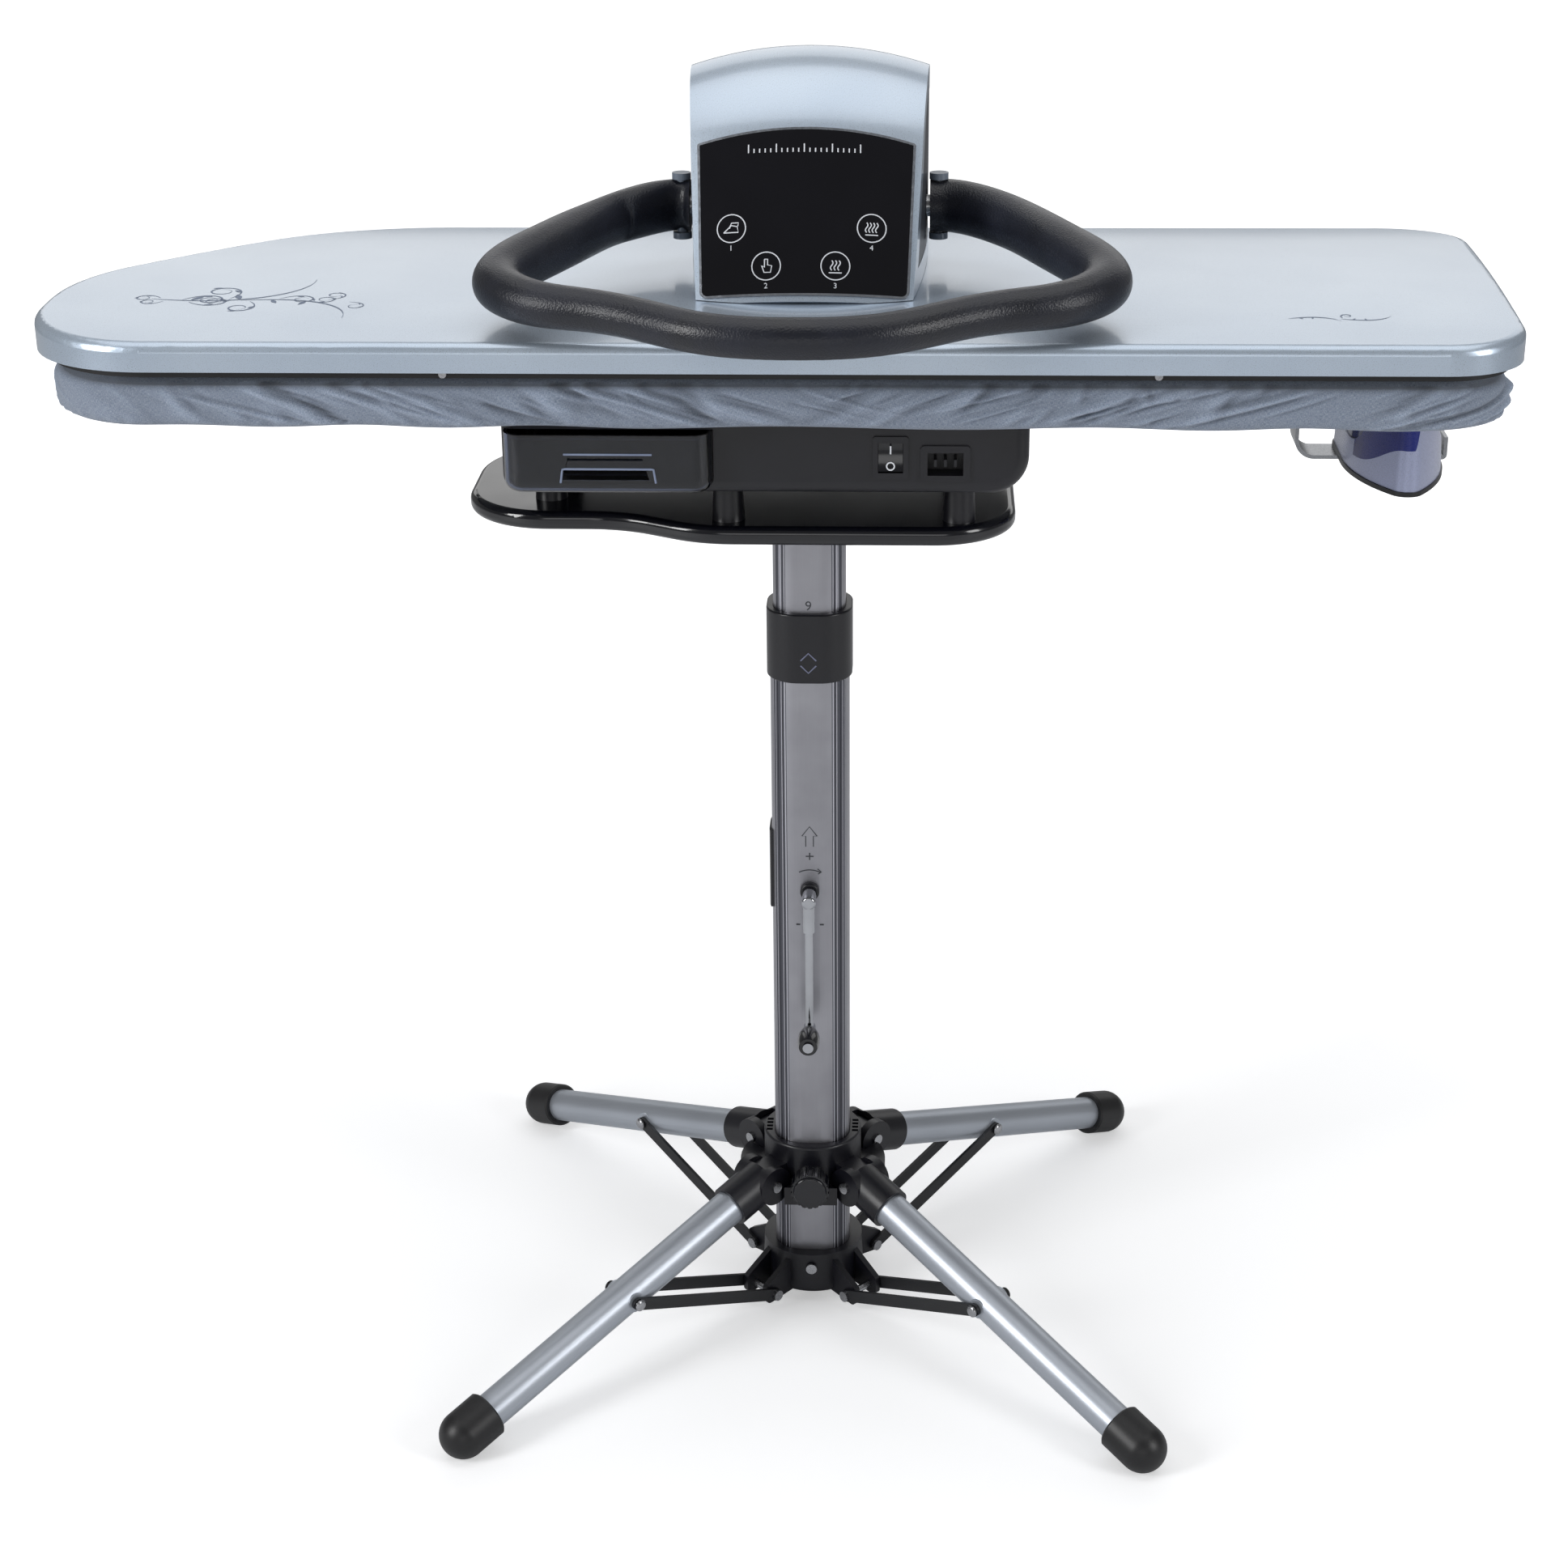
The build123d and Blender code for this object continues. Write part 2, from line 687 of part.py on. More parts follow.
rod_y = -(crank_front + knuckle_length - crank_rod_radius - 1.5)
spindle_start = -(crank_front + knuckle_length)
knob_start = spindle_start - 1
with BuildPart() as crank_arm:
    with BuildSketch(along(-crank_front)):
        with Locations((0, crank_z)):
            Circle(crank_knuckle_radius + 0.5)
    extrude(amount=knuckle_length)
    fillet(crank_arm.edges().group_by(Axis.Y)[0], 2)
    with BuildSketch(Plane.XY.offset(crank_z - crank_radius)):
        with Locations((0, rod_y)):
            Circle(crank_rod_radius)
    extrude(amount=crank_radius)
    with BuildSketch(Plane.XY.offset(crank_z - 26)):
        with Locations((0, rod_y)):
            Circle(crank_rod_radius + 1.4)
    extrude(amount=22)
    with BuildSketch(along(rod_y + crank_rod_radius + 1)):
        with Locations((0, crank_z - crank_radius)):
            Circle(crank_rod_radius + 1.6)
    extrude(amount=rod_y + crank_rod_radius + 1 - spindle_start)
    with BuildSketch(along(spindle_start)):
        with Locations((0, crank_z - crank_radius)):
            Circle(crank_spindle_radius)
    extrude(amount=crank_knob_length + 1.2)
    with BuildSketch(along(knob_start - crank_knob_length - 0.1)):
        with Locations((0, crank_z - crank_radius)):
            Circle(4.2)
    extrude(amount=1.8)
    with BuildSketch(along(-crank_front)):
        with Locations((0, crank_z)):
            Circle(crank_shaft_radius + running)
    extrude(amount=knuckle_length - 2.8, mode=Mode.SUBTRACT)
keep("crank_arm", crank_arm.part)

with BuildPart() as crank_knob:
    with BuildSketch(Plane.YZ):
        with BuildLine():
            near = knob_start
            far = knob_start - crank_knob_length
            axis_z = crank_z - crank_radius
            Polyline((near, axis_z), (near, axis_z + crank_knob_radius - 2.5))
            ThreePointArc(
                (near, axis_z + crank_knob_radius - 2.5),
                (near - crank_knob_length * 0.6, axis_z + crank_knob_radius),
                (far, axis_z + crank_knob_radius - 1.5),
            )
            Polyline((far, axis_z + crank_knob_radius - 1.5), (far, axis_z), (near, axis_z))
        make_face()
    revolve(axis=Axis((0, 0, axis_z), (0, 1, 0)))
    with BuildSketch(along(near + 1)):
        with Locations((0, axis_z)):
            Circle(crank_spindle_radius + running)
    extrude(amount=crank_knob_length + 2, mode=Mode.SUBTRACT)
keep("crank_knob", crank_knob.part)

# Tray and its spacers
with BuildPart() as tray:
    with BuildSketch(Plane.XY.offset(tray_bottom)):
        with BuildLine():
            FilletPolyline(*tray_corners, radius=tray_radii, close=True)
        make_face()
    extrude(amount=tray_thickness)
    fillet(tray.edges().group_by(Axis.Z)[0] + tray.edges().group_by(Axis.Z)[-1], tray_edge)
keep("tray", tray.part)

with BuildPart() as tray_feet:
    with BuildSketch(Plane.XY.offset(tray_bottom + tray_thickness)):
        with Locations(*spacer_places):
            Circle(spacer_radius)
    extrude(amount=housing_foot - tray_bottom - tray_thickness, taper=3)
keep("tray_feet", tray_feet.part)

# Housing of the steam unit, open at the top under the pan and at the drawer's bay
bay_wall_x = tank_right + sliding + housing_wall
with BuildPart() as housing_shell:
    with BuildSketch(along(housing_back)):
        with BuildLine():
            FilletPolyline(
                (housing_left, housing_top),
                (housing_left, housing_foot),
                (housing_right, housing_foot),
                (housing_right, housing_top),
                radius=[0, housing_edge, housing_corner, 0],
                close=True,
            )
        make_face()
    extrude(amount=housing_back - housing_front)
    front_uprights = housing_shell.edges().filter_by(Axis.Z).group_by(Axis.Y)[0]
    fillet(front_uprights, 10)
    with BuildSketch(along(housing_back - housing_wall)):
        with BuildLine():
            FilletPolyline(
                (bay_wall_x, housing_top),
                (bay_wall_x, housing_foot + housing_wall),
                (housing_right - housing_wall, housing_foot + housing_wall),
                (housing_right - housing_wall, housing_top),
                radius=[0, 3, housing_corner - housing_wall, 0],
                close=True,
            )
        make_face()
    extrude(amount=housing_back - housing_front - 2 * housing_wall, mode=Mode.SUBTRACT)
    bay_back = housing_front - tank_proud + tank_depth + 2
    with BuildSketch(along(bay_back)):
        with BuildLine():
            FilletPolyline(
                (tank_left - sliding, tank_top + sliding),
                (tank_left - sliding, tank_foot - sliding),
                (tank_right + sliding, tank_foot - sliding),
                (tank_right + sliding, tank_top + sliding),
                radius=[0, housing_edge - housing_wall, housing_edge - housing_wall, 0],
                close=True,
            )
        make_face()
    extrude(amount=bay_back - housing_front + 1, mode=Mode.SUBTRACT)
    with BuildSketch(Plane.XY.offset(tank_top + sliding + housing_wall)):
        with Locations((tank_left - sliding, housing_back - housing_wall)):
            Rectangle(
                tank_right - tank_left + 2 * sliding,
                housing_back - housing_front - 2 * housing_wall,
                align=(Align.MIN, Align.MAX),
            )
    extrude(amount=housing_top - tank_top, mode=Mode.SUBTRACT)
    with BuildSketch(Plane.XY.offset(housing_foot + housing_wall)):
        with Locations((tank_left - sliding, housing_back - housing_wall)):
            Rectangle(
                tank_right - tank_left + 2 * sliding,
                housing_back - bay_back - 2 * housing_wall,
                align=(Align.MIN, Align.MAX),
            )
    extrude(amount=housing_top - housing_foot, mode=Mode.SUBTRACT)
    with BuildSketch(along(housing_front + housing_wall + 1)):
        with Locations((rocker_x, rocker_z)):
            Rectangle(rocker_frame_size[0] - 5, rocker_frame_size[1] - 5)
        with Locations((socket_x, socket_z)):
            Rectangle(socket_size[0] - 6, socket_size[1] - 6)
    extrude(amount=housing_wall + 2, mode=Mode.SUBTRACT)
keep("housing_shell", housing_shell.part)

# Water tank: a drawer with a recessed pull in its front
tank_front = housing_front - tank_proud
with BuildPart() as water_tank:
    with BuildSketch(Plane.XY.offset(tank_foot)):
        with BuildLine():
            FilletPolyline(
                (tank_left, tank_front + tank_depth),
                (tank_left, tank_front),
                (tank_right, tank_front),
                (tank_right, tank_front + tank_depth),
                radius=[10, tank_corner, tank_corner, 10],
                close=True,
            )
        make_face()
    extrude(amount=tank_top - tank_foot)
    fillet(water_tank.edges().group_by(Axis.Z)[0], tank_edge)
    offset(amount=-tank_wall, openings=water_tank.faces().sort_by(Axis.Z)[-1])
    pull_foot = tank_foot + tank_edge
    with BuildSketch(along(tank_front + pull_depth)):
        with BuildLine():
            Polyline(
                (pull_left, pull_foot),
                (pull_right, pull_foot),
                (pull_right - 5, pull_top),
                (pull_left + 5, pull_top),
                close=True,
            )
        make_face()
    extrude(amount=pull_depth)
    with BuildSketch(along(tank_front + pull_depth - tank_wall)):
        with BuildLine():
            Polyline(
                (pull_left + tank_wall, pull_foot + tank_wall),
                (pull_right - tank_wall, pull_foot + tank_wall),
                (pull_right - 5 - tank_wall, pull_top - tank_wall),
                (pull_left + 5 + tank_wall, pull_top - tank_wall),
                close=True,
            )
        make_face()
    extrude(amount=pull_depth, mode=Mode.SUBTRACT)
keep("water_tank", water_tank.part)

with BuildPart() as rocker_frame:
    with BuildSketch(along(housing_front)):
        with Locations((rocker_x, rocker_z)):
            RectangleRounded(*rocker_frame_size, 2)
    extrude(amount=1.6)
    with BuildSketch(along(housing_front)):
        with Locations((rocker_x, rocker_z)):
            Rectangle(rocker_frame_size[0] - 5.4, rocker_frame_size[1] - 5.4)
    extrude(amount=-12)
    with BuildSketch(along(housing_front - 2)):
        with Locations((rocker_x, rocker_z)):
            Rectangle(rocker_size[0] + 2 * sliding, rocker_size[1] + 2 * sliding)
    extrude(amount=-12, mode=Mode.SUBTRACT)
keep("rocker_frame", rocker_frame.part)

# The rocker turns about a line just behind the housing's front
rocker_axis_y = housing_front + 3
rocker_half = rocker_size[1] / 2
with BuildPart() as rocker:
    with BuildSketch(across(rocker_x)):
        with BuildLine():
            Polyline(
                (rocker_axis_y - 4.5, rocker_z - rocker_half + 0.6),
                (rocker_axis_y + 2.2, rocker_z - rocker_half + 1.2),
                (rocker_axis_y + 5.5, rocker_z),
                (rocker_axis_y + 2.2, rocker_z + rocker_half - 1.2),
                (rocker_axis_y - 4.5, rocker_z + rocker_half - 0.6),
            )
            ThreePointArc(
                (rocker_axis_y - 4.5, rocker_z + rocker_half - 0.6),
                (rocker_axis_y - 3.4, rocker_z),
                (rocker_axis_y - 4.5, rocker_z - rocker_half + 0.6),
            )
        make_face()
    extrude(amount=rocker_size[0] / 2, both=True)
    rotation = Axis((rocker_x, rocker_axis_y, rocker_z), (1, 0, 0))
keep("rocker", rocker.part.rotate(rotation, -rocker_tilt))

with BuildPart() as outlet_socket:
    with BuildSketch(along(housing_front)):
        with Locations((socket_x, socket_z)):
            RectangleRounded(*socket_size, 3)
    extrude(amount=1.8)
    with BuildSketch(along(housing_front)):
        with Locations((socket_x, socket_z)):
            Rectangle(socket_size[0] - 6.4, socket_size[1] - 6.4)
    extrude(amount=-18)
    with BuildSketch(along(housing_front - 2)):
        with Locations((socket_x, socket_z)):
            Rectangle(socket_size[0] - 10, socket_size[1] - 10)
    extrude(amount=-17, mode=Mode.SUBTRACT)
    with BuildSketch(along(housing_front + 1)):
        with Locations((socket_x, socket_z)):
            with GridLocations(7, 1, 3, 1):
                Rectangle(2, 5)
    extrude(amount=-15)
keep("outlet_socket", outlet_socket.part)

# Board: a folded steel pan, and the padded fabric cover drawn over it
with BuildPart() as board_pan:
    extrude(board_face(pan_inset, pan_foot), amount=pan_depth)
    extrude(board_face(pan_inset + pan_sheet, pan_foot), amount=pan_depth - pan_sheet, mode=Mode.SUBTRACT)
keep("board_pan", board_pan.part)

with BuildPart() as board_cover:
    extrude(board_face(cover_inset, cover_hem), amount=pad_top - cover_hem)
    fillet(board_cover.edges().group_by(Axis.Z)[-1], 5)
    extrude(
        board_face(cover_inset + cover_wrap, cover_hem),
        amount=pad_top - pad_thickness - cover_hem,
        mode=Mode.SUBTRACT,
    )
keep("board_cover", board_cover.part)

# Shoe: platen, dark band round it, and the crowned sheet cover
with BuildPart() as platen:
    extrude(board_face(platen_inset, platen_foot), amount=platen_thickness)
    with BuildSketch(Plane.XY.offset(platen_foot + platen_thickness)):
        add(board_face(platen_inset + 4, 0))
        add(board_face(platen_inset + 9, 0), mode=Mode.SUBTRACT)
    extrude(amount=6)
    with BuildSketch(Plane.XY.offset(platen_foot)):
        with Locations((-20, crown_y)):
            with GridLocations(100, 90, 8, 3):
                Circle(vent_radius)
    extrude(amount=platen_thickness, mode=Mode.SUBTRACT)
    with BuildSketch(Plane.XY.offset(platen_foot + platen_thickness)):
        with Locations((0, crown_y + 22)):
            with GridLocations(2 * frame_half - 16, 120, 2, 2):
                Circle(7)
    extrude(amount=crown_top - platen_foot - platen_thickness)
    add(under_crown(shoe_sheet + seat), mode=Mode.INTERSECT)
    for x in (-band_screw_x, band_screw_x):
        for edge_y, inward in ((board_front + platen_inset, -1), (board_back - platen_inset, 1)):
            with BuildSketch(along(edge_y)):
                with Locations((x, band_screw_z)):
                    Circle(1.5 + running)
            extrude(amount=inward * 6, mode=Mode.SUBTRACT)
keep("platen", platen.part)

with BuildPart() as platen_band:
    extrude(board_face(band_inset, platen_foot), amount=lip_height - platen_foot - 0.2)
    extrude(board_face(lip_width + sliding, platen_foot), amount=lip_height - platen_foot + 8)
    extrude(board_face(band_inset + band_width, platen_foot), amount=20, mode=Mode.SUBTRACT)
    for x in (-band_screw_x, band_screw_x):
        with BuildSketch(along(0)):
            with Locations((x, band_screw_z)):
                Circle(1.5 + running)
        extrude(amount=board_half_span, both=True, mode=Mode.SUBTRACT)
keep("platen_band", platen_band.part)

with BuildPart() as band_screws:
    for x in (-band_screw_x, band_screw_x):
        for face_y, inward in ((board_front + band_inset, -1), (board_back - band_inset, 1)):
            with BuildSketch(along(face_y)):
                with Locations((x, band_screw_z)):
                    Circle(1.5)
            extrude(amount=inward * (band_width + 4))
            with BuildSketch(along(face_y)):
                with Locations((x, band_screw_z)):
                    Circle(band_screw_head)
            extrude(amount=-inward * 1.2)
keep("band_screws", band_screws.part)

with BuildPart() as top_cover:
    add(under_crown(0))
    extrude(board_face(0, lip_height), amount=40, mode=Mode.INTERSECT)
    fillet(top_cover.faces().sort_by(Axis.Z)[-1].edges(), shoulder_radius)
    with BuildPart(mode=Mode.PRIVATE) as hollow:
        add(under_crown(shoe_sheet))
        extrude(board_face(shoe_sheet, lip_height), amount=40, mode=Mode.INTERSECT)
        fillet(hollow.faces().sort_by(Axis.Z)[-1].edges(), shoulder_radius - shoe_sheet)
        split(bisect_by=Plane.XY.offset(lip_height + shoe_sheet), keep=Keep.TOP)
    add(hollow.part, mode=Mode.SUBTRACT)
    extrude(board_face(lip_width, lip_height), amount=shoe_sheet, mode=Mode.SUBTRACT)
keep("top_cover", top_cover.part)

# Head: structural frame on the hinge
mount_foot = crown_top + seat
mount_thickness = 4.0
with BuildPart() as arm_frame:
    for side in (-1, 1):
        with BuildSketch(across(side * (frame_half - frame_plate / 2))):
            with BuildLine():
                FilletPolyline(
                    (-32, mount_foot),
                    (board_back + 2, mount_foot),
                    (board_back + 2, hinge_z),
                    (hinge_y - 9, hinge_z - 9),
                    (hinge_y + 11, hinge_z - 5),
                    (hinge_y + 10, hinge_z + 30),
                    (120, pad_top + 136),
                    (20, pad_top + 136),
                    (-32, pad_top + 56),
                    radius=[0, 0, 0, 0, 0, 20, 30, 40, 20],
                    close=True,
                )
            make_face()
            with Locations((110, pad_top + 81)):
                RectangleRounded(56, 60, 14, mode=Mode.SUBTRACT)
            with Locations((handle_y, handle_z)):
                Circle(handle_shaft_radius + running, mode=Mode.SUBTRACT)
        extrude(amount=frame_plate / 2, both=True)
        with BuildSketch(across(side * (frame_half + 3))):
            with Locations((handle_y, handle_z)):
                Circle(handle_shaft_radius + 5)
                Circle(handle_shaft_radius + running, mode=Mode.SUBTRACT)
        extrude(amount=4, both=True)
    with BuildSketch(Plane.XY.offset(mount_foot)):
        with Locations((0, (180 - 32) / 2)):
            Rectangle(2 * frame_half, 180 + 32)
            Rectangle(2 * frame_half - 40, 110, mode=Mode.SUBTRACT)
    extrude(amount=mount_thickness)
    with BuildSketch(across(0)):
        with Locations((hinge_y, hinge_z)):
            Circle(knuckle_radius)
    extrude(amount=cheek_inner - sliding, both=True)
    with BuildSketch(across(0)):
        with Locations((hinge_y, hinge_z)):
            Circle(hinge_pin_radius + running)
    extrude(amount=cheek_inner, both=True, mode=Mode.SUBTRACT)
keep("arm_frame", arm_frame.part)

# Head: the moulded shell. Its plan narrows to both ends, and its top is crowned across
head_up = Vector(0, cos(head_slope), sin(head_slope))
head_start = Vector(0, *head_foot)
head_plane = Plane(origin=head_start, x_dir=(1, 0, 0), z_dir=head_up)


def head_plan(inset):
    """The head seen from above, drawn in by an inset."""
    with BuildSketch() as plan:
        with BuildLine():
            half_front = head_half_front - 0.5
            for side in (-1, 1):
                Polyline((side * half_front, head_foot[0] - 20), (side * head_half_front, head_foot[0]))
                ThreePointArc(
                    (side * head_half_front, head_foot[0]),
                    (side * head_half_middle, head_middle_y),
                    (side * head_half_back, head_crest[2][0]),
                )
            Line((-half_front, head_foot[0] - 20), (half_front, head_foot[0] - 20))
            Line((-head_half_back, head_crest[2][0]), (head_half_back, head_crest[2][0]))
        make_face()
        if inset:
            offset(amount=-inset, kind=Kind.INTERSECTION)
    return plan.sketch


def crown_band(low, high, half):
    """A band of the crowned section between two depths below the head's surface."""
    with BuildSketch(head_plane) as band:
        with Locations((0, head_crown)):
            Circle(head_crown - low)
            Circle(head_crown - high, mode=Mode.SUBTRACT)
        with Locations((0, high)):
            Rectangle(2 * half, 4 * head_sagitta, align=(Align.CENTER, Align.CENTER), mode=Mode.INTERSECT)
    return band.sketch


with BuildLine(Plane.YZ) as head_path:
    FilletPolyline(head_foot, *head_crest, (head_crest[2][0], head_back_foot), radius=head_radii)


def side_profile(inset):
    """The region inside the head's side profile, drawn in by an inset."""
    run_out = 60 / tan(head_slope)
    with BuildSketch(Plane.YZ) as profile:
        with BuildLine():
            FilletPolyline(
                (head_foot[0] - run_out, head_foot[1] - 60),
                *head_crest,
                (head_crest[2][0], head_foot[1] - 60),
                radius=[0, *head_radii, 0],
                close=True,
            )
        make_face()
        if inset:
            offset(amount=-inset, kind=Kind.INTERSECTION)
    return profile.sketch


slope_plane = Plane(
    origin=head_start,
    x_dir=(1, 0, 0),
    z_dir=(0, -sin(head_slope), cos(head_slope)),
)


def panel_face(grow):
    """The control panel's outline on the front slope, with an arched top."""
    side_top = panel_height - panel_arch
    with BuildSketch(slope_plane) as face:
        with BuildLine():
            FilletPolyline(
                (-panel_half_top, side_top),
                (-panel_half_foot, panel_foot),
                (panel_half_foot, panel_foot),
                (panel_half_top, side_top),
                radius=panel_corner,
            )
            ThreePointArc(
                (-panel_half_top, side_top), (0, panel_height), (panel_half_top, side_top)
            )
        make_face()
        if grow:
            offset(amount=grow, kind=Kind.ARC)
    return face.sketch


with BuildPart() as arm_shell:
    with BuildSketch(Plane.XY.offset(head_back_foot)):
        add(head_plan(0))
        add(head_plan(head_wall), mode=Mode.SUBTRACT)
    extrude(amount=170)
    extrude(side_profile(6), amount=100, both=True, mode=Mode.INTERSECT)
    with BuildPart(mode=Mode.PRIVATE) as above:
        sweep(crown_band(-40, 0.2, 110), path=head_path.wire())
    add(above.part, mode=Mode.SUBTRACT)
    with BuildPart(mode=Mode.PRIVATE) as skin:
        sweep(crown_band(0, head_wall, 100), path=head_path.wire())
        with BuildSketch(Plane.XY.offset(head_back_foot - 10)):
            add(head_plan(0))
        extrude(amount=200, mode=Mode.INTERSECT)
    add(skin.part)
    with BuildPart(mode=Mode.PRIVATE) as shoe_room:
        add(under_crown(-head_gap))
        split(bisect_by=along(board_back + 1), keep=Keep.TOP)
    add(shoe_room.part, mode=Mode.SUBTRACT)
    with BuildSketch(across(0)):
        with Locations((handle_y, handle_z)):
            Circle(handle_shaft_radius + 3)
    extrude(amount=head_half_middle + 5, both=True, mode=Mode.SUBTRACT)
    with BuildPart(mode=Mode.PRIVATE) as panel_recess:
        extrude(crown_band(-5, panel_sink + 0.1, head_half_middle), amount=panel_height + 8)
        extrude(panel_face(trim_width + 0.1), amount=40, both=True, mode=Mode.INTERSECT)
    add(panel_recess.part, mode=Mode.SUBTRACT)
    with BuildPart(mode=Mode.PRIVATE) as side_recess:
        with BuildSketch(Plane.XY.offset(side_panel_foot - 0.2)):
            Rectangle(4 * head_half_middle, 6 * head_half_middle)
            add(head_plan(side_sink), mode=Mode.SUBTRACT)
        extrude(amount=170)
        extrude(side_profile(side_rim - 0.2), amount=head_half_middle + 5, both=True, mode=Mode.INTERSECT)
    add(side_recess.part, mode=Mode.SUBTRACT)
keep("arm_shell", arm_shell.part)

with BuildPart() as arm_side_panels:
    with BuildSketch(Plane.XY.offset(side_panel_foot)):
        add(head_plan(0.3))
        add(head_plan(side_sink - 0.1), mode=Mode.SUBTRACT)
    extrude(amount=170)
    extrude(side_profile(side_rim), amount=head_half_middle + 5, both=True, mode=Mode.INTERSECT)
    with BuildSketch(across(0)):
        with Locations((handle_y, handle_z)):
            Circle(handle_shaft_radius + 4)
    extrude(amount=head_half_middle + 5, both=True, mode=Mode.SUBTRACT)
keep("arm_side_panels", arm_side_panels.part)

with BuildPart() as head_panel:
    extrude(crown_band(-panel_proud, panel_sink, head_half_middle), amount=panel_height + 8)
    extrude(panel_face(0), amount=40, both=True, mode=Mode.INTERSECT)
keep("head_panel", head_panel.part)

with BuildPart() as head_trim:
    extrude(crown_band(-panel_proud - 0.3, panel_sink, head_half_middle), amount=panel_height + 8)
    extrude(panel_face(trim_width), amount=40, both=True, mode=Mode.INTERSECT)
    extrude(panel_face(0.1), amount=40, both=True, mode=Mode.SUBTRACT)
keep("head_trim", head_trim.part)

# Hinge: the pin through the frame's knuckle, and the bracket that runs under the board
with BuildPart() as hinge_pin:
    with BuildSketch(across(0)):
        with Locations((hinge_y, hinge_z)):
            Circle(hinge_pin_radius)
    extrude(amount=cheek_inner + cheek_thickness + 0.2, both=True)
    for side in (-1, 1):
        with BuildSketch(across(side * (cheek_inner + cheek_thickness + 1.5))):
            with Locations((hinge_y, hinge_z)):
                Circle(hinge_pin_radius + 2)
        extrude(amount=1.3, both=True)
keep("hinge_pin", hinge_pin.part)

neck_front = hinge_y - 12
neck_back = hinge_y + 10
bracket_foot = pad_top - 62
with BuildPart() as hinge_bracket:
    for side in (-1, 1):
        with BuildSketch(across(side * (cheek_inner + cheek_thickness / 2))):
            with BuildLine():
                FilletPolyline(
                    (neck_front, hinge_z),
                    (neck_front, cover_hem - 1),
                    (178, cover_hem - 1),
                    (178, housing_top),
                    (130, housing_top),
                    (130, cover_hem - 1),
                    (housing_back, cover_hem - 1),
                    (housing_back, bracket_foot),
                    (neck_back, bracket_foot),
                    (neck_back, hinge_z),
                    radius=[0, 0.6, 6, 4, 4, 6, 0, 0, 24, 0],
                    close=True,
                )
            make_face()
            with Locations((hinge_y, hinge_z)):
                Circle(eye_radius)
                Circle(hinge_pin_radius + running, mode=Mode.SUBTRACT)
        extrude(amount=cheek_thickness / 2, both=True)
    with BuildSketch(along(housing_back)):
        with Locations((0, bracket_foot)):
            Rectangle(2 * cheek_inner, 20, align=(Align.CENTER, Align.MIN))
    extrude(amount=-4)
    with BuildSketch(Plane.XY.offset(housing_top)):
        with Locations((0, 154)):
            Rectangle(2 * cheek_inner, 30)
    extrude(amount=-4)
keep("hinge_bracket", hinge_bracket.part)

# Handle: a foam-covered loop on a shaft through the head
droop = radians(handle_droop)
handle_plane = Plane(
    origin=(0, handle_y, handle_z),
    x_dir=(1, 0, 0),
    z_dir=(0, sin(droop), -cos(droop)),
)
right_half = [(x, before) for x, before, radius in handle_points]
left_half = [(-x, before) for x, before in reversed(right_half)]
loop_spots = [*right_half, (0, handle_reach), *left_half]
loop_spots = [handle_plane.from_local_coords(Vector(*spot)) for spot in loop_spots]
grip_radii = [radius for x, before, radius in handle_points]
grip_radii = grip_radii + [grip_radii[-1]] + grip_radii[::-1]
handle_path = Spline(*loop_spots, tangents=[(1, 0, 0), (1, 0, 0)])
with BuildPart() as handle_grip:
    for spot, radius in zip(loop_spots, grip_radii):
        heading = handle_path % handle_path.param_at_point(spot)
        with BuildSketch(Plane(origin=spot, x_dir=handle_plane.z_dir, z_dir=heading)):
            Circle(radius)
    loft()
    for side in (-1, 1):
        with BuildSketch(across(side * (handle_end - 1))):
            with Locations((handle_y, handle_z)):
                Circle(handle_shaft_radius + running)
        extrude(amount=side * 15.3, mode=Mode.SUBTRACT)
        with BuildSketch(Plane.XY.offset(handle_cap_bottom)):
            with Locations((side * handle_pin_x, handle_y)):
                Circle(handle_pin_radius + running)
        extrude(amount=handle_cap_top - handle_cap_bottom, mode=Mode.SUBTRACT)
keep("handle_grip", handle_grip.part)

with BuildPart() as handle_shaft:
    with BuildSketch(across(0)):
        with Locations((handle_y, handle_z)):
            Circle(handle_shaft_radius)
    extrude(amount=handle_end + 14, both=True)
    with BuildSketch(Plane.XY.offset(handle_z)):
        with GridLocations(2 * handle_pin_x, 1, 2, 1):
            with Locations((0, handle_y)):
                Circle(handle_pin_radius + running)
    extrude(amount=handle_shaft_radius + 1, both=True, mode=Mode.SUBTRACT)
keep("handle_shaft", handle_shaft.part)

with BuildPart() as handle_pins:
    with BuildSketch(Plane.XY.offset(handle_cap_bottom)):
        with GridLocations(2 * handle_pin_x, 1, 2, 1):
            with Locations((0, handle_y)):
                Circle(handle_pin_radius)
    extrude(amount=handle_cap_top - handle_cap_bottom)
    for cap_foot in (handle_cap_bottom, handle_cap_top - handle_cap_height):
        with BuildSketch(Plane.XY.offset(cap_foot)):
            with GridLocations(2 * handle_pin_x, 1, 2, 1):
                with Locations((0, handle_y)):
                    Circle(handle_cap_radius)
        extrude(amount=handle_cap_height)
keep("handle_pins", handle_pins.part)


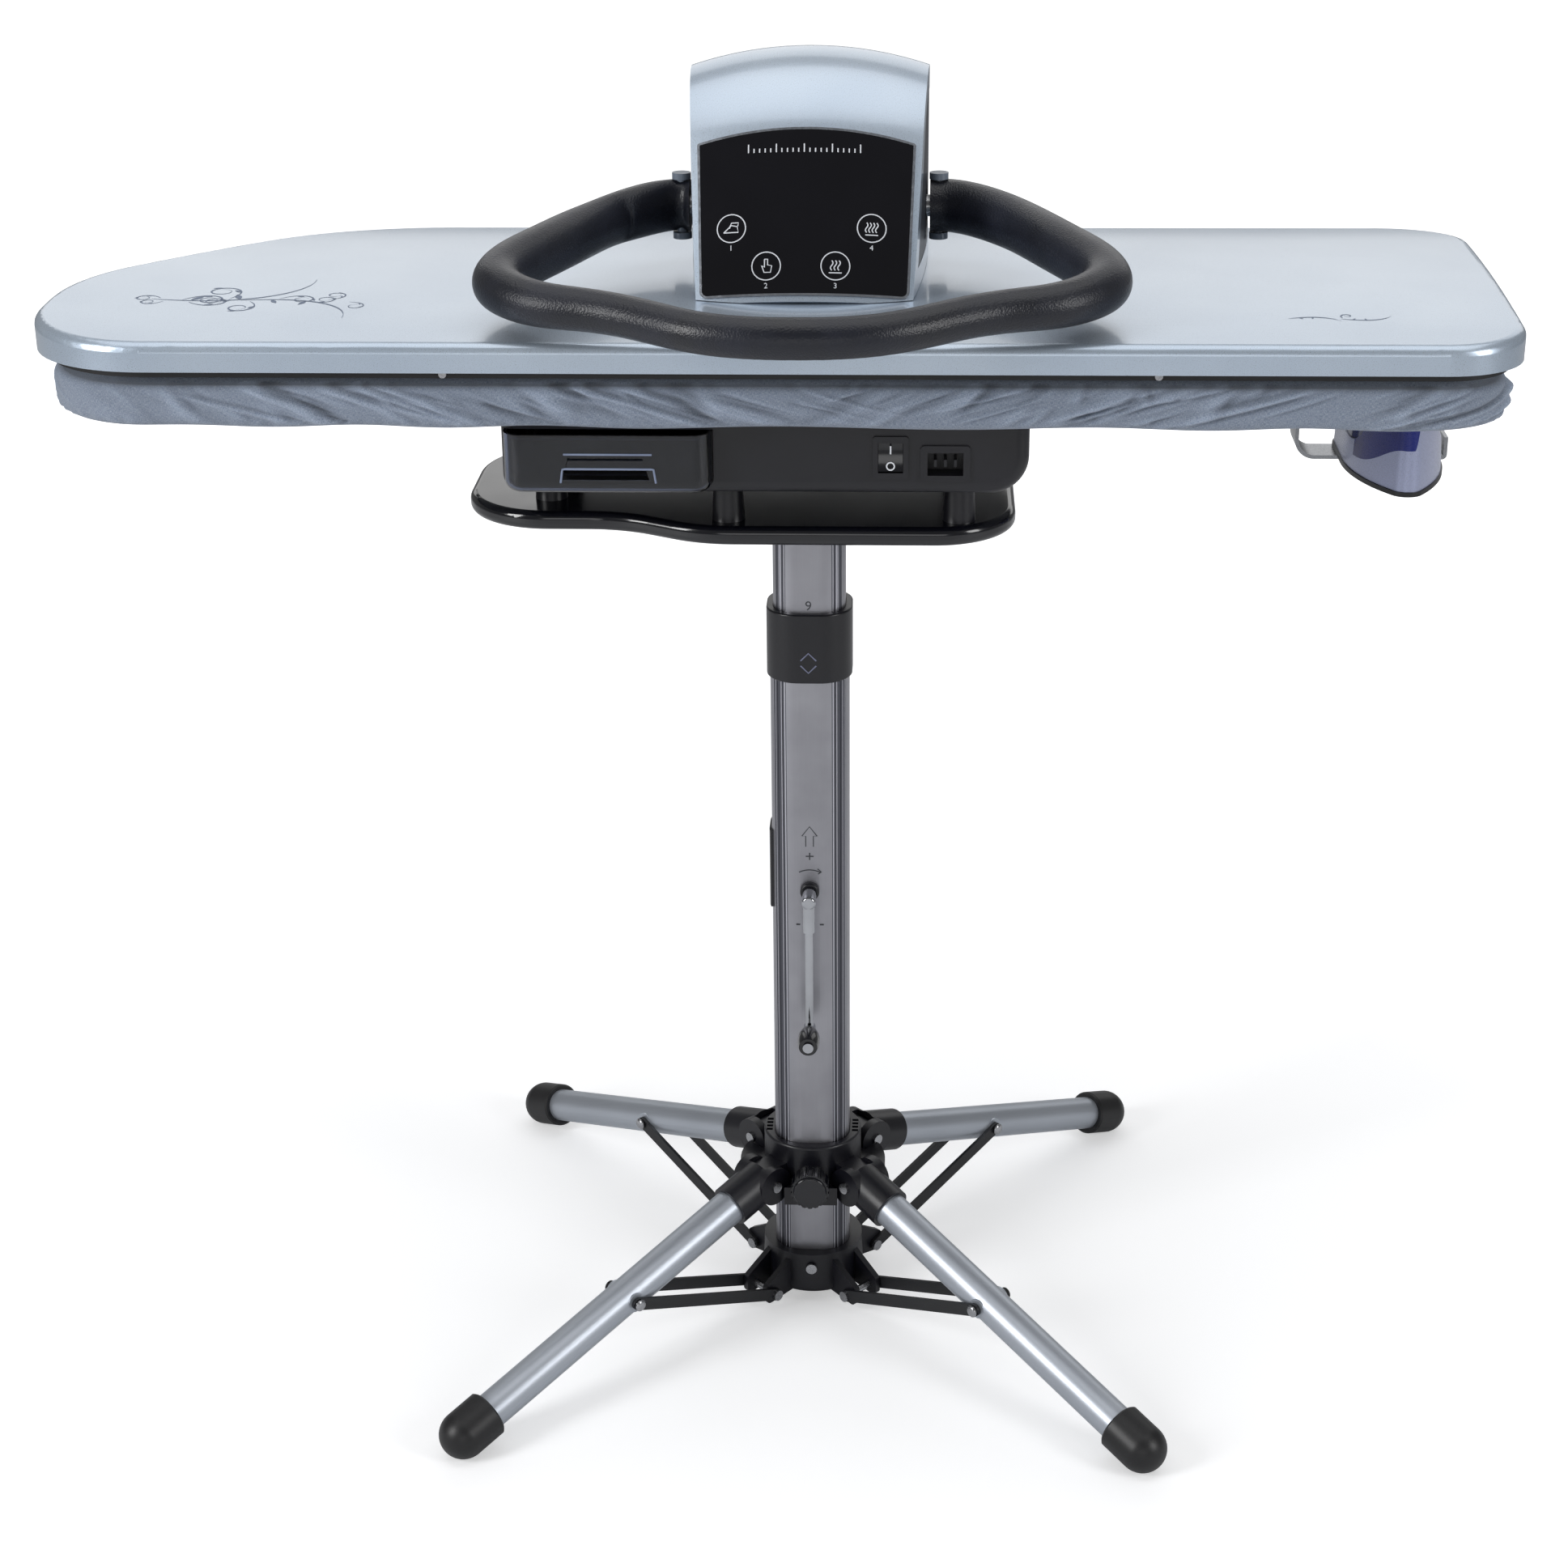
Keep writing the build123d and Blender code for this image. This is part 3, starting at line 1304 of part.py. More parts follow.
def iron_outline(inset, height):
    """The iron seen from above, drawn in by an inset, as a sketch at a height."""
    with BuildSketch(Plane.XY.offset(height)) as outline:
        with BuildLine():
            tip = (iron_x, iron_nose)
            for side in (-1, 1):
                cheek = (iron_x + side * 10.5, iron_nose + 5)
                shoulder = (iron_x + side * iron_half, iron_nose + 92)
                hip = (iron_x + side * iron_half, iron_nose + iron_length - 32)
                ThreePointArc(cheek, (iron_x + side * 30.5, iron_nose + 44), shoulder)
                Line(shoulder, hip)
            ThreePointArc((iron_x - 10.5, iron_nose + 5), tip, (iron_x + 10.5, iron_nose + 5))
            ThreePointArc(
                (iron_x - iron_half, iron_nose + iron_length - 32),
                (iron_x, iron_nose + iron_length),
                (iron_x + iron_half, iron_nose + iron_length - 32),
            )
        make_face()
        if inset:
            offset(amount=-inset)
    return outline.sketch


body_foot = sole_z + sole_thickness + 0.1
bridge_z = pad_top - 102
tank_lid = pad_top - 74


# The iron's waist seen from the side, from the heel to the back of its raised nose
waist = [(128, bridge_z), (88, bridge_z - 6), (54, bridge_z), (40, bridge_z + 22), (36, iron_top)]
tank_rear = iron_nose + 126


def iron_waist(lift):
    """The waist's points on the iron's middle plane, moved up and back by a lift."""
    return [(iron_nose + back + lift, up + lift) for back, up in waist]


with BuildPart() as iron_soleplate:
    extrude(iron_outline(0, sole_z), amount=sole_thickness)
keep("iron_soleplate", iron_soleplate.part)

with BuildPart() as iron_body:
    extrude(iron_outline(1.2, body_foot), amount=iron_top - body_foot, taper=3)
    with BuildSketch(across(iron_x)):
        with BuildLine():
            Polyline(
                iron_waist(0)[-1],
                (iron_nose - 5, iron_top),
                (iron_nose - 5, body_foot),
                (iron_nose + iron_length + 5, body_foot),
                (iron_nose + iron_length + 5, bridge_z),
                iron_waist(0)[0],
            )
            Spline(*iron_waist(0))
        make_face()
    extrude(amount=iron_half + 5, both=True, mode=Mode.INTERSECT)
keep("iron_body", iron_body.part)

with BuildPart() as iron_tank:
    extrude(iron_outline(2.4, body_foot), amount=tank_lid - body_foot, taper=3)
    with BuildSketch(across(iron_x)):
        with BuildLine():
            Spline(*iron_waist(sliding))
            Polyline(
                iron_waist(sliding)[-1],
                (iron_nose + iron_length, iron_top + sliding),
                (iron_nose + iron_length, bridge_z + sliding),
                iron_waist(sliding)[0],
            )
        make_face()
        with Locations((tank_rear, bridge_z)):
            Rectangle(200, 200, align=(Align.MAX, Align.CENTER), mode=Mode.INTERSECT)
    extrude(amount=iron_half + 5, both=True, mode=Mode.INTERSECT)
keep("iron_tank", iron_tank.part)

grip_half = 14.0
with BuildPart() as iron_handle:
    with BuildSketch(across(iron_x)):
        with BuildLine():
            FilletPolyline(
                (iron_nose + 38, iron_top - 18),
                (iron_nose + 38, iron_top),
                (iron_nose + iron_length - 6, iron_top),
                (iron_nose + iron_length - 10, bridge_z + 0.2),
                (iron_nose + 128, bridge_z + 0.2),
                (iron_nose + 126.3, iron_top - 18),
                radius=[0, 3, 18, 0, 0, 12],
                close=True,
            )
        make_face()
    extrude(amount=grip_half, both=True)
    fillet(iron_handle.edges().filter_by(Axis.Y), 5)
keep("iron_handle", iron_handle.part)

# Rest for the iron: a bent strip hung from the pan, with a tongue under the sole
rest_floor = sole_z - seat
with BuildPart() as iron_rest:
    with BuildSketch(along(rest_y + rest_depth)):
        with BuildLine():
            FilletPolyline(
                (rest_left + 24, housing_top),
                (rest_left, housing_top),
                (rest_left, rest_floor - rest_thickness),
                (rest_right, rest_floor - rest_thickness),
                (rest_right, rest_floor + 15),
                (rest_right - rest_thickness, rest_floor + 15),
                (rest_right - rest_thickness, rest_floor),
                (rest_left + rest_thickness, rest_floor),
                (rest_left + rest_thickness, housing_top - rest_thickness),
                (rest_left + 24, housing_top - rest_thickness),
                radius=[0, 5, rest_corner, 4, 0, 0, 1, rest_corner - rest_thickness, 2, 0],
                close=True,
            )
        make_face()
    extrude(amount=rest_depth)
    with BuildSketch(Plane.XY.offset(rest_floor)):
        with Locations((iron_x, rest_y + 2)):
            Rectangle(46, 85, align=(Align.CENTER, Align.MAX))
    extrude(amount=-rest_thickness)
    fillet(iron_rest.edges().filter_by(Axis.Z).group_by(Axis.Y)[0], 14)
keep("iron_rest", iron_rest.part)

# The origin lies under the middle of the board
centre_x = pieces["top_cover"].bounding_box().center().X
os.makedirs("parts", exist_ok=True)
for name, part in pieces.items():
    placed = part.moved(Location((-centre_x, 0, 0)))
    placed.label = name
    export_step(placed, f"parts/{name}.step")
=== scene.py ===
import math
import bpy
import numpy as np
from mathutils import Matrix, Vector


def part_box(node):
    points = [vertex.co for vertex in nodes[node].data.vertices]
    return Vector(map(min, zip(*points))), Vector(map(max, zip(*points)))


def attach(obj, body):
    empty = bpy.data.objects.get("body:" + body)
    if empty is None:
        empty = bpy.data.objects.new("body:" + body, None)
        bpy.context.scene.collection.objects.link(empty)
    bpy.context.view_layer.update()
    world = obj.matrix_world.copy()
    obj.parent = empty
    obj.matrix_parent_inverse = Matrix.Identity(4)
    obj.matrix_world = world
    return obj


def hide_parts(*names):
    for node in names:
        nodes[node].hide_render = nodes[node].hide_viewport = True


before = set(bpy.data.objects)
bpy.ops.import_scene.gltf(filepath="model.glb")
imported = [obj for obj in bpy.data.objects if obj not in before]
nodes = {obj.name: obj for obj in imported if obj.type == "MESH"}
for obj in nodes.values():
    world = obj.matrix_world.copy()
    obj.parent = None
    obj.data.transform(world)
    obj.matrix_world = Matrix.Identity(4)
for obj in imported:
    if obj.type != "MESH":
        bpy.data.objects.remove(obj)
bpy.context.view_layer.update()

# A free-standing steam press. Metres, +Z up, -Y towards the user.
corners = ("front_left", "front_right", "back_right", "back_left")


def middleOf(node):
    low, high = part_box(node)
    return (low + high) / 2


columnX = middleOf("outer_column").x
print("frame loaded, column at", round(columnX, 4))


# Colours and nodes
def linear(hexCode):
    # sRGB hex to linear: c/12.92 below 0.04045, else ((c + 0.055)/1.055)^2.4
    c = np.array([int(hexCode[i:i + 2], 16) for i in (1, 3, 5)]) / 255
    c = np.where(c <= 0.04045, c / 12.92, ((c + 0.055) / 1.055) ** 2.4)
    return (*c, 1.0)


maths = "ShaderNodeMath"  # the kind used most


def addNode(material, kind, settings=None):
    # a node with its settings: another node's output is linked, stops are a ramp's places and
    # colours, and the rest are values of its sockets or properties
    node = material.node_tree.nodes.new(kind)
    for key, value in (settings or {}).items():
        if key == "stops":
            for position, _ in value[2:]:
                node.color_ramp.elements.new(position)
            for element, (position, colour) in zip(node.color_ramp.elements, value):
                element.position, element.color = position, linear(colour)
        elif isinstance(value, bpy.types.NodeSocket):
            material.node_tree.links.new(value, node.inputs[key])
        elif isinstance(key, int) or key in node.inputs:
            node.inputs[key].default_value = value
        else:
            setattr(node, key, value)
    return node


def newMaterial(name):
    material = bpy.data.materials.new(name)
    material.use_nodes = True
    material.node_tree.nodes.clear()
    return material


def ribShadeLines(material, colour, where, ribShading):
    # painted highlight and shade of the ribs: distance from the column's middle along the face, min(|x -
    # column|, |y|) in mm, cut into steps of one pitch; inside the ribbed strip each step runs from painted
    # shade to a painted highlight and back
    axes = addNode(material, "ShaderNodeSeparateXYZ", {"Vector": where})
    across = addNode(material, maths, {"operation": "SUBTRACT", 0: axes.outputs["X"], 1: columnX})
    across = addNode(material, maths, {"operation": "ABSOLUTE", 0: across.outputs[0]})
    deep = addNode(material, maths, {"operation": "ABSOLUTE", 0: axes.outputs["Y"]})
    near = addNode(material, maths, {"operation": "MINIMUM", 0: across.outputs[0], 1: deep.outputs[0]})
    near = addNode(material, maths, {"operation": "MULTIPLY", 0: near.outputs[0], 1: 1000})
    past = addNode(material, maths, {"operation": "SUBTRACT", 0: near.outputs[0], 1: ribShading["first"]})
    step = addNode(material, maths, {"operation": "DIVIDE", 0: past.outputs[0], 1: ribShading["pitch"]})
    step = addNode(material, maths, {"operation": "FRACT", 0: step.outputs[0]})
    stops = [(0.2, ribShading["dark"]), (0.42, ribShading["light"]), (0.72, ribShading["dark"])]
    rib = addNode(material, "ShaderNodeValToRGB", {"stops": stops, "Fac": step.outputs[0]})
    after = addNode(material, maths, {"operation": "GREATER_THAN", 0: near.outputs[0], 1: ribShading["first"]})
    before = addNode(material, maths, {"operation": "LESS_THAN", 0: near.outputs[0], 1: ribShading["last"]})
    strip = addNode(material, maths, {"operation": "MULTIPLY", 0: after.outputs[0], 1: before.outputs[0]})
    mix = addNode(material, "ShaderNodeMix", {
        "data_type": "RGBA", "Factor": strip.outputs[0], 6: colour, 7: rib.outputs[0],
    })
    return mix.outputs[2]


def tankWindow(material, colour, where, window):
    # a window with a wavy lower edge: low at the left flank, up to the nose, and away just past it;
    # inside it the colour is the tank's and there are no metal flakes
    axes = addNode(material, "ShaderNodeSeparateXYZ", {"Vector": where})
    rises = [
        addNode(material, "ShaderNodeMapRange", {
            "interpolation_type": "SMOOTHSTEP", "Value": axes.outputs["X"],
            "From Min": start, "From Max": end, "To Max": height,
        })
        for start, end, height in (window["flank"], window["pastNose"])
    ]
    edge = addNode(material, maths, {"operation": "ADD", 0: rises[0].outputs[0], 1: rises[1].outputs[0]})
    rise = addNode(material, maths, {"operation": "SUBTRACT", 0: axes.outputs["Z"], 1: edge.outputs[0]})
    above = addNode(material, maths, {"operation": "GREATER_THAN", 0: rise.outputs[0], 1: window["foot"]})
    front = addNode(material, maths, {"operation": "LESS_THAN", 0: axes.outputs["Y"], 1: window["back"]})
    inside = addNode(material, maths, {"operation": "MULTIPLY", 0: above.outputs[0], 1: front.outputs[0]})
    flow = addNode(material, "ShaderNodeTexNoise", {"Vector": where, "Scale": 1000 / window["flowMm"]})
    stops = [(0.3, window["dark"]), (0.7, window["light"])]
    blue = addNode(material, "ShaderNodeValToRGB", {"stops": stops, "Fac": flow.outputs["Fac"]})
    mix = addNode(material, "ShaderNodeMix", {
        "data_type": "RGBA", "Factor": inside.outputs[0], 6: colour, 7: blue.outputs[0],
    })
    metal = addNode(material, "ShaderNodeMapRange", {
        "Value": inside.outputs[0], "To Min": window["metallic"], "To Max": 0.0,
    })
    return mix.outputs[2], metal.outputs[0]


def surface(name, settings):
    # every finish of the press: a tone that drifts between two near colours, and a finer grain,
    # drawn lines, flakes or pebbles, which move the gloss and the bump; sizes are in millimetres
    material = newMaterial(name)
    where = addNode(material, "ShaderNodeTexCoord").outputs["Object"]
    lined = addNode(material, "ShaderNodeMapping", {
        "Vector": where, "Scale": settings.get("stretch", (1, 1, 1)),
    })
    patterns = {}
    for part in ("tone", "grain", "wave"):
        if part in settings:
            sizeMm, detail, fractal = settings[part]
            patterns[part] = addNode(material, "ShaderNodeTexNoise", {
                "Vector": lined.outputs[0] if part == "grain" else where,
                "Scale": 1000 / sizeMm, "Detail": detail, "Roughness": fractal,
            }).outputs["Fac"]
    if "pebbleMm" in settings:
        patterns["grain"] = addNode(material, "ShaderNodeTexVoronoi", {
            "Vector": where, "feature": "SMOOTH_F1", "Scale": 1000 / settings["pebbleMm"], "Smoothness": 0.6,
        }).outputs["Distance"]
    shader = dict(settings["shader"])
    if "light" in settings:
        stops = [(0.3, settings["dark"]), (0.7, settings["light"])]
        ramp = addNode(material, "ShaderNodeValToRGB", {"stops": stops, "Fac": patterns["tone"]})
        shader["Base Color"] = ramp.outputs[0]
    else:
        shader["Base Color"] = linear(settings["dark"])
    # painted highlight and shade lines over the column's ribs
    if "ribShading" in settings:
        shader["Base Color"] = ribShadeLines(material, shader["Base Color"], where, settings["ribShading"])
    if "window" in settings:
        shader["Base Color"], shader["Metallic"] = tankWindow(
            material, shader["Base Color"], where, settings["window"]
        )
    if "spread" in settings:
        shader["Roughness"] = addNode(material, "ShaderNodeMapRange", {
            "Value": patterns[settings["glossFrom"]], "From Min": 0.3, "From Max": 0.7,
            "To Min": settings["rough"] - settings["spread"],
            "To Max": settings["rough"] + settings["spread"],
        }).outputs[0]
    else:
        shader["Roughness"] = settings["rough"]
    for socket, part, depth in (("Normal", "grain", "depthMm"), ("Coat Normal", "wave", "waveDepthMm")):
        if depth in settings:
            shader[socket] = addNode(material, "ShaderNodeBump", {
                "Height": patterns[part], "Distance": settings[depth] / 1000, "Strength": 1.0,
            }).outputs[0]
    principled = addNode(material, "ShaderNodeBsdfPrincipled", shader)
    addNode(material, "ShaderNodeOutputMaterial", {"Surface": principled.outputs[0]})
    return material


def wovenCotton(name, settings):
    # silver-coated cotton, plain weave: threads along the map's two ways, heathered yarn
    material = newMaterial(name)
    way = addNode(material, "ShaderNodeUVMap", {"uv_map": "cloth"}).outputs[0]
    axes = addNode(material, "ShaderNodeSeparateXYZ", {"Vector": way})
    waves, yarn = [], []
    for axis, stretch in (("X", (1, 7, 1)), ("Y", (7, 1, 1))):
        turn = addNode(material, maths, {
            "operation": "MULTIPLY", 0: axes.outputs[axis], 1: 2 * math.pi * 1000 / settings["threadMm"],
        })
        waves.append(addNode(material, maths, {"operation": "SINE", 0: turn.outputs[0]}).outputs[0])
        spun = addNode(material, "ShaderNodeMapping", {"Vector": way, "Scale": stretch})
        yarn.append(addNode(material, "ShaderNodeTexNoise", {
            "Vector": spun.outputs[0], "Scale": 1000 / settings["heatherMm"], "Detail": 3, "Roughness": 0.7,
        }).outputs["Fac"])
    weave = addNode(material, maths, {"operation": "MULTIPLY", 0: waves[0], 1: waves[1]})
    both = addNode(material, maths, {"operation": "ADD", 0: yarn[0], 1: yarn[1]})
    heather = addNode(material, maths, {"operation": "MULTIPLY", 0: both.outputs[0], 1: 0.5}).outputs[0]
    stops = [(0.4, settings["dark"]), (0.62, settings["light"])]
    ramp = addNode(material, "ShaderNodeValToRGB", {"stops": stops, "Fac": heather})
    # the folds' height is kept on the mesh: painted shade darkens the cloth down in the valleys, and a
    # painted highlight lightens it on the ridges
    height = addNode(material, "ShaderNodeAttribute", {"attribute_name": "fold"})
    valleyShade = addNode(material, "ShaderNodeMapRange", {
        "Value": height.outputs["Fac"],
        "From Min": -0.9, "From Max": 0.7, "To Min": settings["valleyShade"], "To Max": 1.12,
    })
    shade = addNode(material, "ShaderNodeVectorMath", {
        "operation": "SCALE", 0: ramp.outputs[0], "Scale": valleyShade.outputs[0],
    })
    coarse = addNode(material, "ShaderNodeBump", {"Height": heather, "Distance": 0.00025, "Strength": 1.0})
    fine = addNode(material, "ShaderNodeBump", {
        "Height": weave.outputs[0], "Normal": coarse.outputs[0],
        "Distance": settings["threadMm"] / 4000, "Strength": 0.5,
    })
    shader = addNode(material, "ShaderNodeBsdfPrincipled", {
        "Base Color": shade.outputs[0], "Normal": fine.outputs[0],
        "Roughness": 0.82, "Sheen Weight": 0.25, "Sheen Roughness": 0.4, "IOR": 1.45,
    })
    addNode(material, "ShaderNodeOutputMaterial", {"Surface": shader.outputs[0]})
    return material


# What the finishes of one kind share: tone, grain and wave are (size in mm, detail, fractal roughness)
# Moulded ABS, PP or rubber: an even eroded grain, and a gloss that drifts with the tone
moulded = {
    "tone": (60, 3, 0.5), "glossFrom": "tone", "spread": 0.04,
    "shader": {"IOR": 1.53, "Coat Weight": 0.0, "Coat Roughness": 0.08},
}
# Drawn, brushed or plated metal: fine lines along the way it was worked
drawn = {"tone": (45, 3, 0.5), "glossFrom": "grain", "spread": 0.07, "shader": {"Metallic": 1.0}}
# Baked metallic lacquer: aluminium flakes under a clear coat, slightly wavy as sprayed
lacquer = {
    "tone": (120, 2, 0.5), "wave": (14, 2, 0.5), "waveDepthMm": 0.01,
    "glossFrom": "grain", "spread": 0.06, "depthMm": 0.012,
}
# SAN from a polished tool: clear with a tint, and faint flow marks
clear = {"tone": (30, 2, 0.5), "grain": (30, 2, 0.5), "depthMm": 0.05}
# Screen-printed ink: one flat colour, slightly uneven in its gloss
ink = {"grain": (0.8, 2, 0.5), "glossFrom": "grain", "rough": 0.525, "spread": 0.075, "shader": {"IOR": 1.5}}

# Lacquer, silver with a blue cast: glossy, the head and the handle mirror softly in it
silverBlue = surface("silver blue lacquer", {
    **lacquer, "dark": "#B4C2D2", "light": "#C0CDDB", "grain": (0.5, 1, 0.7), "rough": 0.32,
    "shader": {"Metallic": 0.6, "Coat Weight": 0.6, "Coat Roughness": 0.1, "Coat IOR": 1.5},
})
# Black ABS with an eroded grain: deep black, soft highlights
blackAbs = surface("black ABS eroded", {
    **moulded, "dark": "#08080F", "light": "#0E0E17", "grain": (0.7, 2, 0.5), "rough": 0.36, "depthMm": 0.03,
})
# Black ABS from a smoother tool, as on the tray and the knobs
glossAbs = surface("black ABS polished", {
    **moulded, "dark": "#07080E", "light": "#0B0C14", "grain": (2.5, 2, 0.5), "rough": 0.17, "depthMm": 0.01,
    "shader": {"IOR": 1.53, "Coat Weight": 0.3, "Coat Roughness": 0.08},
})
# Phenolic band round the platen: matt black, takes the heat
phenolic = surface("black phenolic band", {
    **moulded, "dark": "#050507", "light": "#09090C", "grain": (1.0, 2, 0.5), "rough": 0.62, "depthMm": 0.02,
})
# Nitrile rubber feet: matt with a soft shine
footRubber = surface("black nitrile rubber", {
    **moulded, "dark": "#0C0C0E", "light": "#131316", "grain": (0.9, 2, 0.5), "rough": 0.42, "depthMm": 0.03,
})
# Grey PP caps on the handle's pins
greyCap = surface("grey PP caps", {
    **moulded, "dark": "#6C7684", "light": "#7A8492", "grain": (0.8, 2, 0.5), "rough": 0.35, "depthMm": 0.02,
})
# Heel and handle of the iron: pale grey ABS, polished
paleAbs = surface("pale grey ABS", {
    **moulded, "dark": "#B9BFCB", "light": "#C9CEDA", "grain": (3, 2, 0.5), "rough": 0.22, "depthMm": 0.01,
    "shader": {"IOR": 1.53, "Coat Weight": 0.4, "Coat Roughness": 0.08},
})
# Acrylic front of the control panel: piano black
panelAcrylic = surface("black acrylic sheet", {
    **moulded, "dark": "#05050B", "light": "#08080F", "grain": (25, 2, 0.5), "rough": 0.08, "depthMm": 0.01,
})
# Anodised aluminium extrusion of the column: drawn lines along its length, and three fine
# ribs by each edge, painted as bright highlight lines with shade lines between
anodised = surface("anodised aluminium column", {
    **drawn, "dark": "#9C9CA2", "light": "#AAAAB0", "grain": (0.8, 3, 0.6), "stretch": (1, 1, 0.02),
    "rough": 0.4, "depthMm": 0.02,
    "ribShading": {"first": 17.6, "pitch": 2.5, "last": 25.1, "dark": "#5E5F66", "light": "#DCDCE4"},
})
# Legs: satin lacquered tube with a blue-grey cast
legTube = surface("satin silver tube lacquer", {
    **lacquer, "dark": "#B2B8C1", "light": "#BDC3CC", "grain": (0.45, 1, 0.7), "rough": 0.4,
    "shader": {"Metallic": 0.75, "Coat Weight": 0.15, "Coat Roughness": 0.3, "Coat IOR": 1.5},
})
# Zinc-plated steel of screws, rivets, shafts and the rack
zincSteel = surface("zinc plated steel", {
    **drawn, "dark": "#A8A9AC", "light": "#BDBEC2", "grain": (1.2, 3, 0.6), "rough": 0.27, "depthMm": 0.01,
})
# Chromed rod of the crank: polished along its length
chromeRod = surface("chromed steel rod", {
    **drawn, "dark": "#A9ABB0", "light": "#BDBFC4", "grain": (1.5, 3, 0.6), "stretch": (1, 1, 0.1),
    "rough": 0.12, "depthMm": 0.004,
})
# Trim round the panel: vacuum-metallised ABS
metallisedTrim = surface("metallised ABS trim", {
    **drawn, "dark": "#B4BAC4", "light": "#C6CBD4", "grain": (3, 3, 0.6), "rough": 0.2, "depthMm": 0.005,
})
# Cast aluminium platen: dull, slightly pitted
castAlloy = surface("cast aluminium", {
    **drawn, "dark": "#7D7E82", "light": "#8D8E92", "grain": (1.4, 3, 0.6), "rough": 0.42, "depthMm": 0.03,
})
# Powder coat on the pan, the head's frame and the hinge bracket: an even orange peel
powderCoat = surface("grey powder coat", {
    **moulded, "dark": "#54565A", "light": "#606267", "grain": (1.4, 2, 0.5), "rough": 0.45, "depthMm": 0.05,
})
# The same in black on the links
blackCoat = surface("black powder coat", {
    **moulded, "dark": "#0E0F12", "light": "#17181C", "grain": (1.2, 2, 0.5), "rough": 0.4, "depthMm": 0.04,
})
# Bright rolled strip of the iron's rest
brightStrip = surface("bright steel strip", {
    **drawn, "dark": "#8E9094", "light": "#A2A4A8", "grain": (1.5, 3, 0.6), "rough": 0.3, "depthMm": 0.02,
})
# Iron's body: pearl lacquer with a lilac cast, and the deep blue window of its tank, set flush
pearlLilac = surface("pearl lilac lacquer", {
    **lacquer, "dark": "#9FA6C4", "light": "#B0B6D0", "grain": (0.4, 1, 0.7), "rough": 0.3,
    "shader": {"Coat Weight": 0.25, "Coat Roughness": 0.1, "Coat IOR": 1.5},
    "window": {
        "dark": "#0A1660", "light": "#0F2078", "flowMm": 40, "metallic": 0.35,
        "foot": 0.7053, "back": 0.063,
        "flank": (0.4366, 0.4646, 0.0195),  # from x, to x, rise, in metres
        "pastNose": (0.4735, 0.4795, 0.03),
    },
})
# Drawer of smoke-tinted SAN: the bay behind shows darkly through it, its edges catch the light
smokeClear = surface("smoke SAN drawer", {
    **clear, "dark": "#3A4050", "light": "#4A5162", "rough": 0.03,
    "shader": {"IOR": 1.57, "Transmission Weight": 1.0},
})
# Tank of the iron: deep blue SAN, nearly opaque over the water
blueClear = surface("blue SAN tank", {
    **clear, "dark": "#0A1C62", "light": "#102A7C", "rough": 0.06,
    "shader": {"IOR": 1.57, "Transmission Weight": 0.35},
})
# The drawer's beads: the same SAN, painted paler as a highlight along their edges
beadHighlightSmoke = surface("smoke SAN bead", {
    **clear, "dark": "#7E89A6", "light": "#93A0BC", "rough": 0.12,
    "shader": {"IOR": 1.57, "Transmission Weight": 0.2},
})
# Side panels of the head: dark grey ABS, a little lighter than the rest
sideAbs = surface("dark grey ABS eroded", {
    **moulded, "dark": "#34373E", "light": "#3C3F46", "grain": (0.7, 2, 0.5), "rough": 0.4, "depthMm": 0.03,
})
# Integral PU foam of the loop: a soft pebbled skin, a faint sheen at the edges
foam = surface("black PU foam sleeve", {
    "dark": "#0A0D17", "light": "#121624", "tone": (35, 3, 0.5), "pebbleMm": 1.3, "depthMm": 0.2,
    "rough": 0.38, "spread": 0.05, "glossFrom": "tone",
    "shader": {"IOR": 1.5, "Sheen Weight": 0.06, "Sheen Roughness": 0.5},
})
# The board's cover; its threads are drawn three times as coarse as real ones, so that they show
# In the folds' valleys its colour is darkened down to the given factor: painted shade
cotton = wovenCotton("heathered cotton plain weave", {
    "dark": "#6E7C93", "light": "#B6C0CF", "valleyShade": 0.42, "threadMm": 1.1, "heatherMm": 2.2,
})
whiteInk = surface("white screen ink", {**ink, "dark": "#D9DCE2"})
greyInk = surface("grey screen ink", {**ink, "dark": "#66748C"})
darkInk = surface("dark screen ink", {**ink, "dark": "#3A3C40"})
dimInk = surface("dim grey screen ink", {**ink, "dark": "#6C7088"})

finishes = {
    silverBlue: ("top_cover", "arm_shell"),
    blackAbs: ("column_collar", "side_cover_plate", "crank_bezel", "base_hub", "leg_hub", "tray_feet",
               "housing_shell", "rocker_frame", "outlet_socket"),
    sideAbs: ("arm_side_panels",),
    glossAbs: ("tray", "rocker", "crank_knob", "lock_knob"),
    phenolic: ("platen_band",),
    greyCap: ("handle_pins",),
    paleAbs: ("iron_handle",),
    panelAcrylic: ("head_panel",),
    anodised: ("outer_column", "inner_column"),
    zincSteel: ("base_pins", "leg_pivot_pins", "height_rack", "pinion", "crank_shaft", "band_screws",
                "hinge_pin", "handle_shaft"),
    chromeRod: ("crank_arm",),
    metallisedTrim: ("head_trim",),
    castAlloy: ("platen",),
    powderCoat: ("board_pan", "arm_frame", "hinge_bracket"),
    brightStrip: ("iron_rest",),
    pearlLilac: ("iron_body",),
    smokeClear: ("water_tank",),
    blueClear: ("iron_tank",),
    foam: ("handle_grip",),
    footRubber: ("iron_soleplate", *(f"foot_cap_{corner}" for corner in corners)),
    blackCoat: tuple(f"link_pair_{corner}" for corner in corners),
    legTube: tuple(f"leg_tube_{corner}" for corner in corners),
}
finishes[blackAbs] += tuple(f"leg_sleeve_{corner}" for corner in corners)
for material, names in finishes.items():
    for name in names:
        nodes[name].data.materials.clear()
        nodes[name].data.materials.append(material)
print("materials on", sum(len(names) for names in finishes.values()), "nodes")


